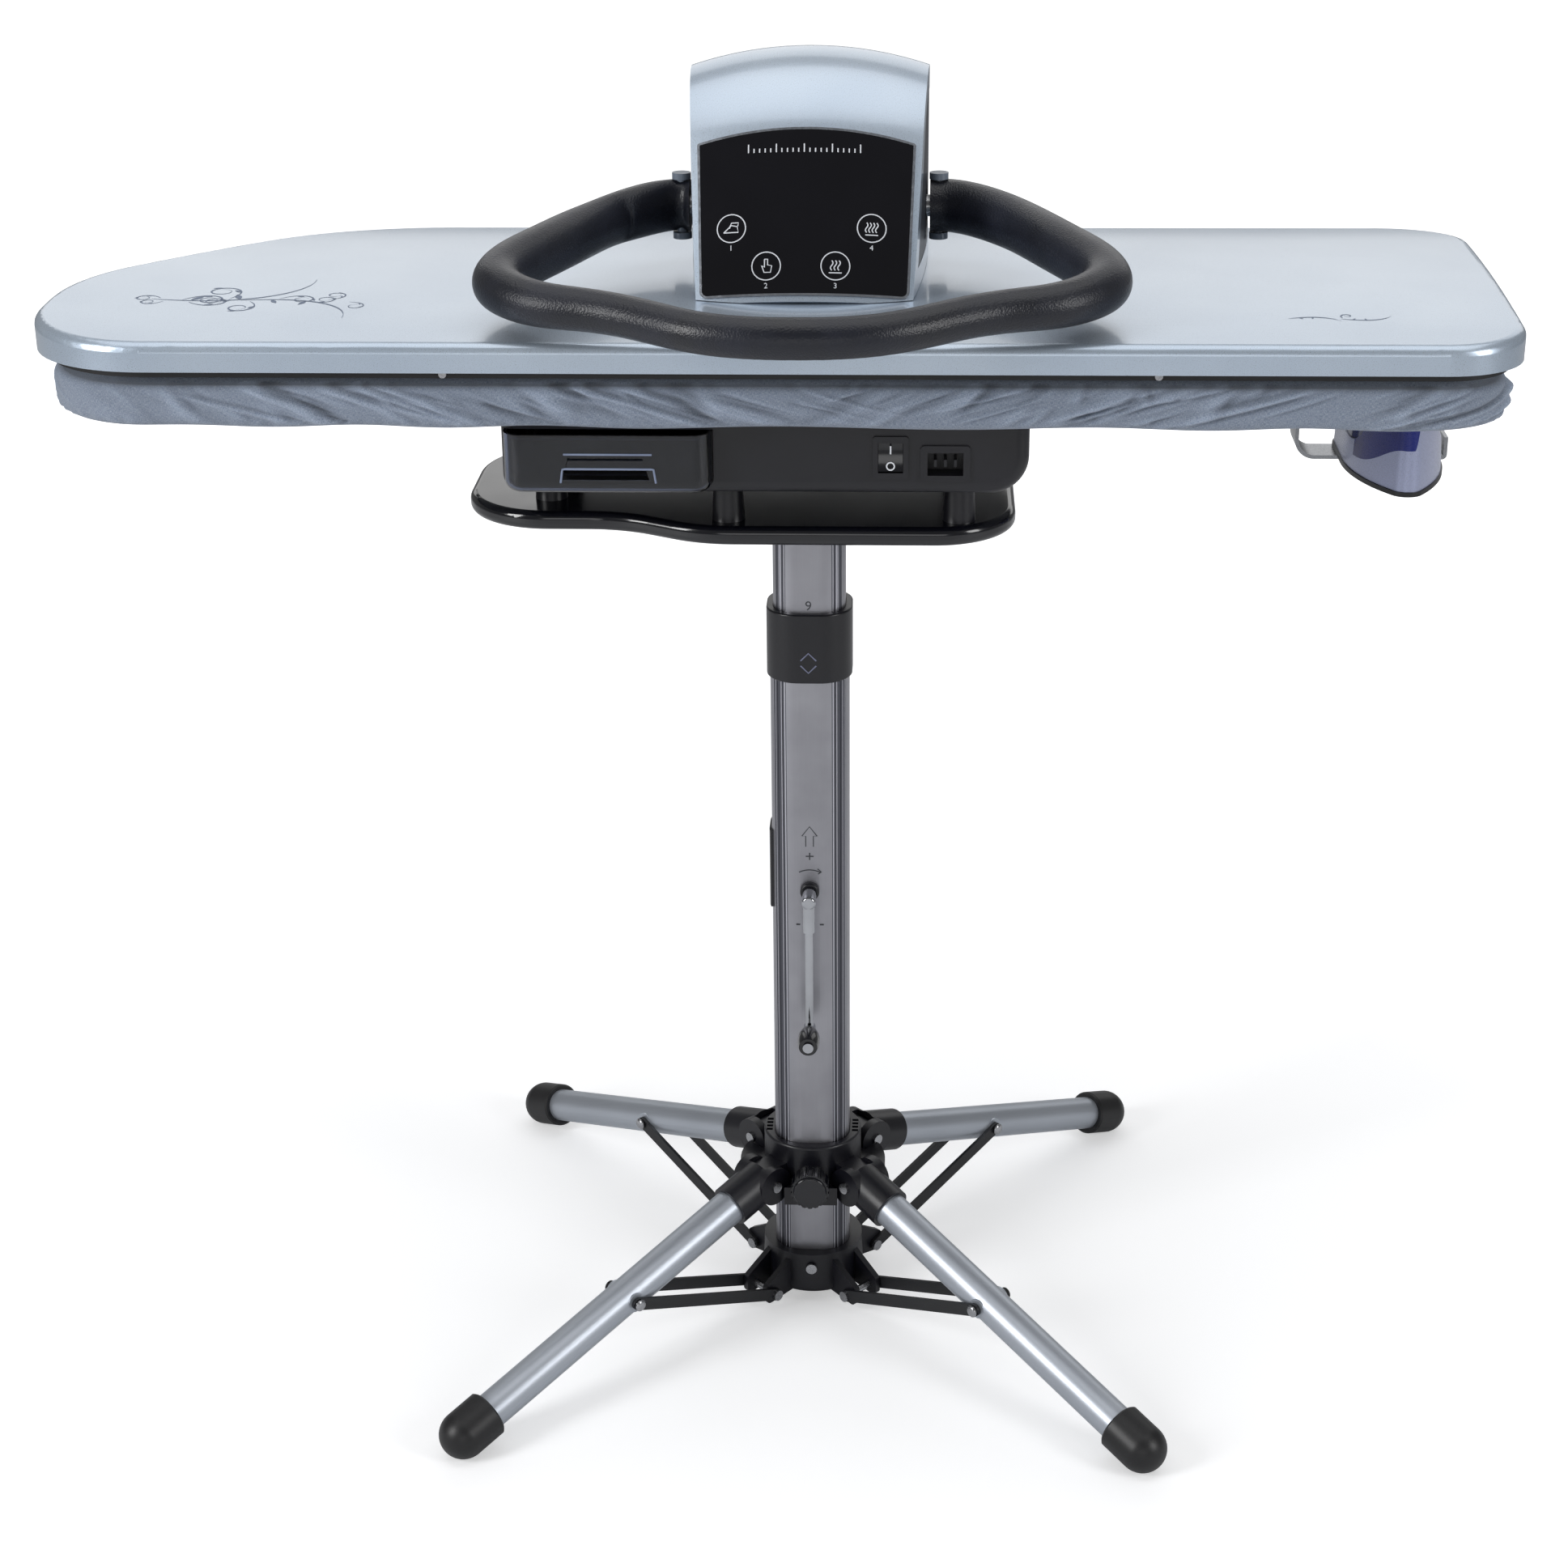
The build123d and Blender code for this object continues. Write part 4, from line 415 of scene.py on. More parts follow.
# Meshes from arrays
def gridFaces(rows, columns, closedColumns=False):
    # quads of a rows by columns grid, whose last column may join the first
    r = np.arange(rows - 1)[:, None]
    c = np.arange(columns if closedColumns else columns - 1)[None, :]
    up, right = r + 1, (c + 1) % columns
    quads = np.stack([r * columns + c, r * columns + right, up * columns + right, up * columns + c], -1)
    return quads.reshape(-1, 4)


def newPiece(name, points, faces, material, body):
    mesh = bpy.data.meshes.new(name)
    mesh.from_pydata(points.reshape(-1, 3).tolist(), [], faces.tolist())
    mesh.materials.append(material)
    piece = bpy.data.objects.new(name, mesh)
    bpy.context.scene.collection.objects.link(piece)
    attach(piece, body)
    return piece


def smooth(piece):
    piece.data.polygons.foreach_set("use_smooth", np.ones(len(piece.data.polygons), bool))
    piece.data.update()


# The padded cover on the board
boardCover = {
    # the shoe's outline, metres from the column: corner points and their radii, and the fabric's inset
    "corners": [(-0.378, 0.207), (-0.548, -0.003), (-0.548, -0.178), (0.4975, -0.178), (0.507, 0.207)],
    "radii": [0.185, 0.160, 0.095, 0.060, 0.064],
    "inset": 0.0105,
    "around": 1180,
    "hem": 0.7885,
    "seed": 11,
    "longFolds": 150,
    "shortFolds": 330,
    "foldDepth": 0.0034,
    "edge": 0.8176,
}


def roundedOutline(points, radii, inset, count):
    # straight runs and tangent arcs of a convex outline drawn in by inset, even steps of arc length
    points = np.array(points)
    radii = np.array(radii) - inset
    along = np.roll(points, -1, 0) - points
    along /= np.linalg.norm(along, axis=1)[:, None]
    inward = np.stack([-along[:, 1], along[:, 0]], 1)
    before, beforeIn = np.roll(along, 1, 0), np.roll(inward, 1, 0)
    cosTurn = (before * along).sum(1)
    turn = np.arccos(np.clip(cosTurn, -1, 1))
    corner = points + inset * (beforeIn + inward) / (1 + cosTurn)[:, None]
    cut = radii * np.tan(turn / 2)
    arcStart = corner - before * cut[:, None]
    centre = arcStart + beforeIn * radii[:, None]
    run = np.linalg.norm(np.roll(corner, -1, 0) - corner, axis=1) - cut - np.roll(cut, -1)
    lengths = np.stack([radii * turn, run], 1).reshape(-1)
    starts = np.concatenate([[0], np.cumsum(lengths)])
    s = np.linspace(0, starts[-1], count, endpoint=False)
    part = np.clip(np.searchsorted(starts, s, side="right") - 1, 0, len(lengths) - 1)
    i, onArc, rest = part // 2, part % 2 == 0, s - starts[part]
    angle = np.where(onArc, rest / radii[i], turn[i])
    outward = -beforeIn[i] * np.cos(angle)[:, None] + before[i] * np.sin(angle)[:, None]
    place = centre[i] + outward * radii[i][:, None]
    place += along[i] * np.where(onArc, 0, rest)[:, None]
    return place, outward, s, starts[-1]


def foldField(s, total, height, settings):
    # sum of creases: each is a sharp valley beside a round ridge, along a slanting line
    # that starts at the shoe and sweeps down; it fades at both of its ends
    random = np.random.default_rng(settings["seed"])
    bottom, top = settings["hem"], 0.824
    level = (height - bottom) / (top - bottom)
    field = np.zeros(s.shape)
    for count, reach, wide, depth in (
        (settings["longFolds"], (0.5, 1.1), (0.005, 0.011), 1.0),
        (settings["shortFolds"], (0.15, 0.5), (0.003, 0.006), 0.55),
    ):
        start = random.uniform(0, total, count)
        centre = random.uniform(0.1, 0.9, count)
        half = random.uniform(*reach, count) / 2
        width = random.uniform(*wide, count)
        lean = random.normal(0.078, 0.035, count)
        bend = random.normal(0, 0.03, count)
        size = random.uniform(0.35, 1.0, count) * depth * random.choice([1, 1, -0.7], count)
        for k in range(count):  # one crease at a time keeps the arrays small
            side = np.sign(settings["turnsAt"] - start[k]) if settings["frontEnds"] > start[k] else 0.6
            x = (level - centre[k])
            offset = (s - start[k] + total / 2) % total - total / 2
            offset = offset - side * (lean[k] * -x + bend[k] * x * x)
            crease = np.exp(-(offset / width[k]) ** 2) - 0.8 * np.exp(-((offset / width[k] - 1.3) / 0.7) ** 2)
            field += size[k] * crease * np.exp(-(x / half[k]) ** 4)
    return field


def buildBoardCover(settings):
    # profile rows (inset from the outline, height), carried round the outline
    outline, outward, s, total = roundedOutline(
        settings["corners"], settings["radii"], settings["inset"], settings["around"]
    )
    hem, top = settings["hem"], settings["edge"]
    quarter = np.linspace(0, np.pi / 2, 6)
    skirtRows = np.linspace(hem + 0.006, top - 0.004, 26)[1:-1]
    profile = np.concatenate([
        [[0.0058, 0.8118], [0.0056, 0.804], [0.0054, 0.796], [0.0052, hem + 0.003]],
        np.stack([0.0052 - 0.0052 * np.sin(quarter), hem + 0.006 - 0.006 * np.cos(quarter)], 1),
        np.stack([np.zeros(skirtRows.size), skirtRows], 1),
        np.stack([0.004 - 0.004 * np.cos(quarter), top - 0.004 + 0.004 * np.sin(quarter)], 1),
        [[0.010, top + 0.0002]],
    ])
    inset, height = profile[:, 0][:, None], profile[:, 1][:, None]
    ring = outline[None] - outward[None] * inset[..., None]
    ringHeight = np.broadcast_to(height, ring.shape[:2]).copy()
    sGrid = np.broadcast_to(s[None], ring.shape[:2])
    # the front run lies between the nose and the right end
    settings["frontEnds"] = s[np.argmax(outline[:, 0])]
    front = np.abs(outline[:, 1] - outline[:, 1].min()) < 0.002
    settings["turnsAt"] = s[front][np.argmin(np.abs(outline[front, 0] - 0.03))]
    fold = foldField(sGrid, total, ringHeight, settings)
    # the cloth lies smoother where it is stretched round the nose and the right end
    nose = np.exp(-((s - s[np.argmin(outline[:, 0] + outline[:, 1])]) / 0.10) ** 2)
    end = np.exp(-(np.abs((s - settings["frontEnds"] + total / 2) % total - total / 2) / 0.07) ** 2)
    calm = (1 - 0.9 * nose - 0.6 * end)[None]
    shownRows = np.clip((ringHeight - hem) / 0.004, 0, 1) * np.clip((top - ringHeight) / 0.006, 0, 1)
    outer = (np.arange(len(profile)) >= 7)[:, None]
    push = settings["foldDepth"] * fold * calm * shownRows * outer
    belly = 0.0022 * np.sin(np.pi * np.clip((ringHeight - hem) / (top - hem), 0, 1)) * outer
    # elastic hem: small gathers along the lower edge
    up = ringHeight - hem
    gather = 0.0012 * np.sin(s * 2 * np.pi / 0.0135 + 3 * np.sin(s * 17))[None] * np.exp(-(up / 0.006) ** 2)
    slack = 0.0016 * np.sin(s * 2 * np.pi / 0.16 + 1.4 * np.sin(s * 9))[None] * np.exp(-(up / 0.012) ** 2)
    grow = np.clip(push + belly + gather * outer - 0.0016, -0.0045, 0.0065)
    ring = ring + outward[None] * grow[..., None]
    ringHeight += slack * calm * 0.6 - 0.0006
    skirt = np.concatenate([ring, ringHeight[..., None]], -1)

    # the flat top and the underside run from the ring in to a spine along the middle of the board
    spineY = 0.0145
    spineX = np.clip(outline[:, 0], -0.36, 0.33)
    spine = np.stack([spineX, np.full_like(spineX, spineY)], 1)
    share = np.linspace(0, 1, 20)[1:][:, None, None] ** 1.5
    topRows = skirt[-1, :, :2][None] * (1 - share) + spine[None] * share
    # the edge is rounded down from the flat top over its first share
    topZ = 0.824 - (0.824 - top) * np.clip(1 - share[..., 0] / 0.15, 0, 1) ** 2 * np.ones(topRows.shape[:2])
    topRows = np.concatenate([topRows, topZ[..., None]], -1)
    below = skirt[0, :, :2][None] * (1 - share[::-1]) + spine[None] * share[::-1]
    below = np.concatenate([below, np.full(below.shape[:2], 0.8119)[..., None]], -1)
    points = np.concatenate([below, skirt, topRows])
    points[..., 0] += columnX
    rows, columns = points.shape[:2]

    # cloth map in metres: s along the outline, and the way down the profile
    steps = np.linalg.norm(np.diff(points, axis=0), axis=2).mean(1)
    down = np.concatenate([[0], np.cumsum(steps)])
    piece = newPiece(
        "padded_cover", points, gridFaces(rows, columns, closedColumns=True), cotton, "mast"
    )
    mesh = piece.data
    loops = np.zeros(len(mesh.loops), int)
    mesh.loops.foreach_get("vertex_index", loops)
    column, row = loops % columns, loops // columns
    # the last column's quads close the ring: their far side has the outline's full length
    quad = np.arange(len(loops)) // 4
    wraps = (quad % columns == columns - 1) & (column == 0)
    flat = np.stack([np.where(wraps, total, s[column]), down[row]], 1)
    onTop = row >= len(below) + len(profile) - 1
    world = points.reshape(-1, 3)[loops]
    flat = np.where(onTop[:, None], world[:, :2], flat)
    mesh.uv_layers.new(name="cloth").data.foreach_set("uv", flat.reshape(-1).astype(np.float32))
    # the folds' height, from which the cotton paints shade into the valleys and a highlight onto the ridges
    height = np.zeros((rows, columns), np.float32)
    height[len(below):len(below) + len(profile)] = fold * calm * outer
    mesh.attributes.new("fold", "FLOAT", "POINT").data.foreach_set("value", height.reshape(-1))
    smooth(piece)
    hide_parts("board_cover")
    print("board cover:", rows * columns, "points round", round(total, 3), "m")
    return piece


buildBoardCover(boardCover)


# Flat print that follows the shoe's crowned top, or lies on any plane
shoe = {"crownTop": 0.856, "crownDrop": 0.006, "front": -0.178, "back": 0.207}


def shoeHeight(y):
    # the crown's arc: z = top - R + sqrt(R^2 - (y - middle)^2)
    middle, span = (shoe["front"] + shoe["back"]) / 2, (shoe["back"] - shoe["front"]) / 2
    radius = (span ** 2 + shoe["crownDrop"] ** 2) / (2 * shoe["crownDrop"])
    return shoe["crownTop"] - radius + np.sqrt(radius ** 2 - (y - middle) ** 2)


scrollwork = {
    # a generic sprig of curling tendrils: start, heading in degrees, size, turns, hand, line width
    "middle": (-0.402, -0.072),
    "lift": 0.00012,
    "curls": [
        (-0.070, 0.006, -12, 0.070, 0.30, 1, 0.0016),
        (-0.004, 0.002, 8, 0.052, 0.28, -1, 0.0015),
        (-0.046, 0.002, 55, 0.040, 1.45, -1, 0.0012),
        (-0.040, -0.002, -48, 0.036, 1.40, 1, 0.0012),
        (-0.012, 0.006, 62, 0.042, 1.35, 1, 0.0012),
        (0.004, 0.000, -52, 0.034, 1.35, -1, 0.0011),
        (0.024, 0.006, 48, 0.032, 1.30, -1, 0.0010),
        (0.044, 0.002, -38, 0.026, 1.25, 1, 0.0009),
        (0.060, 0.004, 24, 0.024, 1.20, 1, 0.0009),
        (-0.062, 0.008, 128, 0.022, 1.25, 1, 0.0009),
        (-0.058, 0.000, -120, 0.020, 1.25, -1, 0.0009),
        (0.076, -0.002, -8, 0.020, 1.05, -1, 0.0008),
    ],
}

# A plain wave with two small leaves on the right of the cover
flourish = {
    "middle": (0.377, -0.112),
    "lift": 0.00012,
    "curls": [
        (-0.040, 0.000, 20, 0.019, 0.22, -1, 0.0011),
        (-0.004, 0.000, -18, 0.019, 0.22, 1, 0.0011),
        (-0.002, 0.002, 110, 0.011, 1.1, -1, 0.0008),
    ],
}


def tendril(x, y, heading, size, turns, hand, width, steps=90):
    # a line whose curvature grows along it: heading(t) = h0 + hand * 2 pi turns * t^1.7,
    # summed up to points; its ribbon swells in the middle and tapers to both ends
    t = np.linspace(0, 1, steps)
    angle = math.radians(heading) + hand * 2 * np.pi * turns * t ** 1.7
    step = size * 2.1 / steps
    line = np.stack([x + np.cumsum(np.cos(angle)) * step, y + np.cumsum(np.sin(angle)) * step], 1)
    side = np.stack([-np.sin(angle), np.cos(angle)], 1)
    half = width / 2 * (0.25 + np.sin(np.pi * np.clip(t * 1.1, 0, 1)) ** 0.7)
    return np.stack([line - side * half[:, None], line + side * half[:, None]])


def leaf(x, y, heading, length, width, steps=24):
    # two mirrored edges: half width times sin(pi t)^1.3 either side of a straight rib
    t = np.linspace(0, 1, steps)
    direction = np.array([math.cos(heading), math.sin(heading)])
    side = np.array([-direction[1], direction[0]])
    rib = np.array([x, y]) + t[:, None] * length * direction
    half = width / 2 * np.sin(np.pi * t) ** 1.3
    return np.stack([rib - half[:, None] * side, rib + half[:, None] * side])


def buildScrollwork(name, settings):
    points, faces, count = [], [], 0
    middle = np.array(settings["middle"])
    for x, y, heading, size, turns, hand, width in settings["curls"]:
        ribbons = [tendril(x, y, heading, size, turns, hand, width)]
        ribbons += [
            leaf(*ribbons[0].mean(0)[k], math.radians(heading) + hand * bend, size * 0.22, size * 0.07)
            for k, bend in ((18, 1.2), (40, 2.1))
        ]
        for ribbon in ribbons:
            flat = ribbon + middle
            z = shoeHeight(flat[..., 1]) + settings["lift"]
            points.append(np.stack([flat[..., 0] + columnX, flat[..., 1], z], -1).reshape(-1, 3))
            faces.append(gridFaces(2, ribbon.shape[1]) + count)
            count += points[-1].shape[0]
    piece = newPiece(
        name, np.concatenate(points), np.concatenate(faces), greyInk, "press"
    )
    faceUp(piece)
    return piece


def faceUp(piece):
    # turns round the faces whose normals point down
    mesh = piece.data
    mesh.update()
    flips = [p for p in mesh.polygons if p.normal.z < 0]
    for polygon in flips:
        polygon.flip()
    mesh.update()


buildScrollwork("scrollwork_print", scrollwork)
buildScrollwork("flourish_print", flourish)


# Numbers and signs, as flat meshes on a plane given by a point, its right and its up
def printGlyphs(name, glyphs, size, where, right, up, material, body, lift=0.0002):
    curve = bpy.data.curves.new(name, "FONT")
    curve.body = glyphs
    curve.size = size
    curve.align_x = "CENTER"
    curve.align_y = "CENTER"
    holder = bpy.data.objects.new(name + "_text", curve)
    bpy.context.scene.collection.objects.link(holder)
    bpy.context.view_layer.update()
    mesh = bpy.data.meshes.new_from_object(holder)
    bpy.data.objects.remove(holder)
    right, up = Vector(right).normalized(), Vector(up).normalized()
    out = right.cross(up)
    turn = Matrix((right, up, out)).transposed().to_4x4()
    mesh.transform(Matrix.Translation(Vector(where) + out * lift) @ turn)
    mesh.materials.clear()
    mesh.materials.append(material)
    mesh.name = name
    piece = bpy.data.objects.new(name, mesh)
    bpy.context.scene.collection.objects.link(piece)
    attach(piece, body)
    return piece


def ribbonOnPlane(path, width, closed=False):
    # a flat ribbon along a path of (n, 2) points: the path plus and minus half a width of its normal
    path = np.array(path, float)
    ahead = np.gradient(path, axis=0)
    if closed:
        ahead = np.roll(path, -1, 0) - np.roll(path, 1, 0)
    ahead /= np.linalg.norm(ahead, axis=1)[:, None]
    side = np.stack([-ahead[:, 1], ahead[:, 0]], 1) * width / 2
    return np.stack([path - side, path + side])


def printLines(name, lines, where, right, up, bulge, material, body, lift=0.0002):
    # lines are (path, width, closed) in the plane's own x and y; bulge(x) drops the plane along its normal
    points, faces, count = [], [], 0
    for path, width, closed in lines:
        ribbon = ribbonOnPlane(path, width, closed)
        points.append(ribbon.reshape(-1, 2))
        quads = gridFaces(2, ribbon.shape[1], closedColumns=closed)
        faces.append(quads + count)
        count += points[-1].shape[0]
    flat = np.concatenate(points)
    right, up = np.array(Vector(right).normalized()), np.array(Vector(up).normalized())
    out = np.cross(right, up)
    world = np.array(where) + flat[:, :1] * right + flat[:, 1:] * up + (lift - bulge(flat[:, :1])) * out
    return newPiece(name, world, np.concatenate(faces), material, body)


def circle(x, y, radius, start=0, end=360, steps=48):
    angle = np.radians(np.linspace(start, end, steps, endpoint=end - start < 360))
    return np.stack([x + radius * np.cos(angle), y + radius * np.sin(angle)], 1)


# The control panel: its slope and the crown across it
panel = {
    "foot": (-0.0795, 0.857),
    "crest": (0.0169, 1.0274),
    "proud": 0.0008,
    "halfWidth": 0.088,
    "sagitta": 0.014,
    "icons": [
        ("iron", "1", -0.0524, 0.0545),
        ("select", "2", -0.0270, 0.0260),
        ("steam", "3", 0.0222, 0.0260),
        ("booster", "4", 0.0476, 0.0545),
    ],
    "ringRadius": 0.0102,
    "line": 0.0008,
    "numberSize": 0.0056,
    "scale": {"middle": (-0.0010, 0.1125), "reach": 0.040, "ticks": 21, "short": 0.0030, "tall": 0.0062},
}


def iconLines(kind, x, y, line):
    # plain signs: an iron, a pointing hand, one plume of steam and two
    scale = 0.001
    if kind == "iron":
        shapes = [
            ([(-5.5, -3), (5, -3), (4.2, 1.2), (0, 2.2), (-5.5, -3)], False),
            ([(-1.5, 0), (0, 4), (5, 4), (4.6, 1.6)], False),
        ]
    elif kind == "select":
        shapes = [
            ([(-1.2, 5), (-1.2, -1), (-3.2, 0.4), (-1.4, -4.6), (3.2, -4.6),
              (4, 0.2), (1, 0.8), (1, 5), (-1.2, 5)], False),
        ]
    else:
        wave = np.linspace(-1, 1, 14)
        offsets = (-2.6, 0, 2.6) if kind == "steam" else (-3.6, -1.2, 1.2, 3.6)
        shapes = [
            (np.stack([shift + 0.9 * np.sin(wave * 3.1), wave * 3.6 + 0.4], 1), False) for shift in offsets
        ]
        shapes.append(([(-4.6, -5), (4.6, -5)], False))
    return [(np.array(path) * scale + (x, y), line, closed) for path, closed in shapes]


def buildPanelPrint(settings):
    foot, crest = np.array(settings["foot"]), np.array(settings["crest"])
    slope = (crest - foot) / np.linalg.norm(crest - foot)
    up = (0, slope[0], slope[1])
    out = np.array([0, -slope[1], slope[0]])
    where = np.array([columnX, foot[0], foot[1]]) + out * settings["proud"]
    radius = (settings["halfWidth"] ** 2 + settings["sagitta"] ** 2) / (2 * settings["sagitta"])
    bulge = lambda x: radius - np.sqrt(radius ** 2 - x ** 2)
    lines = []
    for kind, _, x, y in settings["icons"]:
        lines.append((circle(x, y, settings["ringRadius"]), settings["line"], True))
        lines += iconLines(kind, x, y, settings["line"])
    # a plain scale of ticks across the top: every fifth is taller
    scale = settings["scale"]
    for k, x in enumerate(np.linspace(-scale["reach"], scale["reach"], scale["ticks"])):
        x, y = x + scale["middle"][0], scale["middle"][1]
        rise = scale["tall"] if k % 5 == 0 else scale["short"]
        lines.append(([(x, y - scale["tall"] / 2), (x, y - scale["tall"] / 2 + rise)], 0.0009, False))
    printLines("panel_signs", lines, where, (1, 0, 0), up, bulge, whiteInk, "press")
    for kind, number, x, y in settings["icons"]:
        y = y - settings["ringRadius"] - 0.0044
        drop = bulge(x)
        tilt = x / math.sqrt(radius ** 2 - x ** 2)
        spot = where + np.array([x, 0, 0]) + np.array(up) * y - out * drop
        right = np.array([1, 0, 0]) - out * tilt
        printGlyphs(
            f"panel_number_{kind}", number, settings["numberSize"], spot, right, up,
            whiteInk, "press", 0.0003,
        )


buildPanelPrint(panel)

# Marks on the column, the rocker's I and O
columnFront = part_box("outer_column")[0].y
mastDepth = 0.0555  # of the inner tube, without its flange
sideways, upwards = (1, 0, 0), (0, 0, 1)
columnMarks = [
    # name, glyphs, size, the column's face, height, body, lift
    ("mark_top", "9", 0.0105, -mastDepth / 2, 0.6105, "mast", 0.00012),
    ("mark_plus", "+", 0.013, columnFront, 0.4035, "column", 0.0002),
    ("mark_minus", "-    -", 0.013, columnFront, 0.346, "column", 0.0002),
]
for name, glyphs, size, face, height, body, lift in columnMarks:
    printGlyphs(
        name, glyphs, size, (columnX, face, height), sideways, upwards, darkInk, body, lift
    )
flatPlane = lambda x: 0 * x
printLines(
    "mark_arrows",
    [
        ([(-0.003, 0.004), (-0.003, 0.013), (-0.006, 0.013), (0, 0.021),
          (0.006, 0.013), (0.003, 0.013), (0.003, 0.004)], 0.0008, False),
        (circle(0, -0.034, 0.018, 62, 118, 16), 0.0009, False),
        ([(0.0065, -0.0195), (0.0092, -0.0178), (0.0062, -0.0150)], 0.0009, False),
    ],
    (columnX, columnFront, 0.4085), sideways, upwards, flatPlane, darkInk, "column",
)

rockerMiddle = middleOf("rocker")
rockerFace = Vector((rockerMiddle.x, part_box("rocker")[0].y + 0.0012, rockerMiddle.z))
printLines(
    "rocker_signs",
    [
        ([(0, 0.0030), (0, 0.0088)], 0.0011, False),
        (circle(0, -0.0058, 0.0027), 0.0010, True),
    ],
    rockerFace, sideways, upwards, flatPlane, whiteInk, "rocker_body", 0.0014,
)
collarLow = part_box("column_collar")[0]
printLines(
    "collar_arrows",
    [
        ([(-0.006, 0.002), (0, 0.008), (0.006, 0.002)], 0.0011, False),
        ([(-0.006, -0.002), (0, -0.008), (0.006, -0.002)], 0.0011, False),
    ],
    (columnX, collarLow.y, collarLow.z + 0.017), sideways, upwards, flatPlane,
    dimInk, "column", 0.0003,
)
print("prints done")

# Domed heads on the outer rivets of the links
rivet = {
    "radius": 0.0050, "height": 0.0021, "steps": 20, "rings": 6,
    "offset": 0.0192,  # of a head's foot from the leg's middle plane
    "pivot": (0.057, 0.118),  # the leg's pivot: out from the column, height
    "reach": 0.154,  # from the pivot to the rivet, along the leg
    "fall": (0.0995, 0.309),  # of the whole leg, over its run
}


def dome(centre, out, settings):
    # a cap of a sphere's shape: r = R sin(a), h = H cos(a)
    a = np.linspace(np.pi / 2, 0, settings["rings"])[:, None]
    turn = np.linspace(0, 2 * np.pi, settings["steps"], endpoint=False)[None]
    out = np.array(out)
    first = np.cross(out, (0, 0, 1))
    first /= np.linalg.norm(first)
    second = np.cross(out, first)
    radial = np.cos(turn)[..., None] * first + np.sin(turn)[..., None] * second
    across, rise = settings["radius"] * np.sin(a)[..., None], settings["height"] * np.cos(a)[..., None]
    return centre + across * radial + rise * out


def buildRivets(settings):
    slope = math.atan2(*settings["fall"])
    pinOut = settings["pivot"][0] + settings["reach"] * math.cos(slope)
    pinHeight = settings["pivot"][1] - settings["reach"] * math.sin(slope)
    for corner, turn in zip(corners, (225, 315, 45, 135)):
        away = np.array([math.cos(math.radians(turn)), math.sin(math.radians(turn)), 0])
        across = np.array([-away[1], away[0], 0])
        points, faces, count = [], [], 0
        for side in (-1, 1):
            centre = np.array([columnX, 0, pinHeight]) + away * pinOut + across * side * settings["offset"]
            shell = dome(centre, across * side, settings)
            points.append(shell.reshape(-1, 3))
            faces.append(gridFaces(settings["rings"], settings["steps"], closedColumns=True) + count)
            count += points[-1].shape[0]
        piece = newPiece(
            f"rivet_heads_{corner}", np.concatenate(points), np.concatenate(faces),
            zincSteel, f"link_{corner}",
        )
        smooth(piece)


buildRivets(rivet)
print("rivets done")

# Beads moulded round the lid and the pull of the water drawer: their round edges catch the light, and their
# paler colour is a painted highlight
drawer = {
    "radius": 0.0008,
    "steps": 8,
    "lidDown": 0.0062,
    "pullProud": 0.0143,
    "pull": {"left": -0.1655, "right": -0.1035, "top": 0.7665, "shelf": 0.7560, "foot": 0.7460},
}


def bead(path, radius, steps):
    # a round bead along a path: at each point a circle across the path, radius (cos a u + sin a v)
    path = np.array(path, float)
    ahead = np.gradient(path, axis=0)
    ahead /= np.linalg.norm(ahead, axis=1)[:, None]
    first = np.cross(ahead, (0.31, 0.17, 0.93))
    first /= np.linalg.norm(first, axis=1)[:, None]
    second = np.cross(ahead, first)
    angle = np.linspace(0, 2 * np.pi, steps, endpoint=False)[None, :, None]
    return path[:, None] + radius * (np.cos(angle) * first[:, None] + np.sin(angle) * second[:, None])


def alongCorners(line, step=0.002):
    # straight runs between the line's corners, a point every step or so
    line = np.array(line, float)
    lengths = np.concatenate([[0], np.cumsum(np.linalg.norm(np.diff(line, axis=0), axis=1))])
    even = np.linspace(0, lengths[-1], int(lengths[-1] / step) + 2)
    return np.stack([np.interp(even, lengths, line[:, k]) for k in range(3)], 1)


def buildDrawerBeads(settings):
    low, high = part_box("water_tank")
    pull = settings["pull"]
    front = low.y
    face = front + settings["pullProud"]
    left, right = columnX + pull["left"], columnX + pull["right"]
    rim = high.z - settings["lidDown"]
    lines = [
        [(low.x + 0.0002, face + 0.150, rim), (low.x + 0.0002, face + 0.010, rim),
         (low.x + 0.004, face + 0.0025, rim), (low.x + 0.012, face - 0.0002, rim),
         (high.x - 0.009, face - 0.0002, rim)],
        [(left, front - 0.0001, pull["top"]), (right, front - 0.0001, pull["top"])],
        [(left - 0.0025, front - 0.0001, pull["foot"]), (left - 0.001, front - 0.0001, pull["shelf"]),
         (right + 0.001, front - 0.0001, pull["shelf"]), (right + 0.0025, front - 0.0001, pull["foot"])],
    ]
    points, faces, count = [], [], 0
    for line in lines:
        tube = bead(alongCorners(line), settings["radius"], settings["steps"])
        points.append(tube.reshape(-1, 3))
        faces.append(gridFaces(tube.shape[0], tube.shape[1], closedColumns=True) + count)
        count += points[-1].shape[0]
    piece = newPiece(
        "drawer_beads", np.concatenate(points), np.concatenate(faces), beadHighlightSmoke, "tank"
    )
    smooth(piece)


buildDrawerBeads(drawer)
print("drawer beads done")

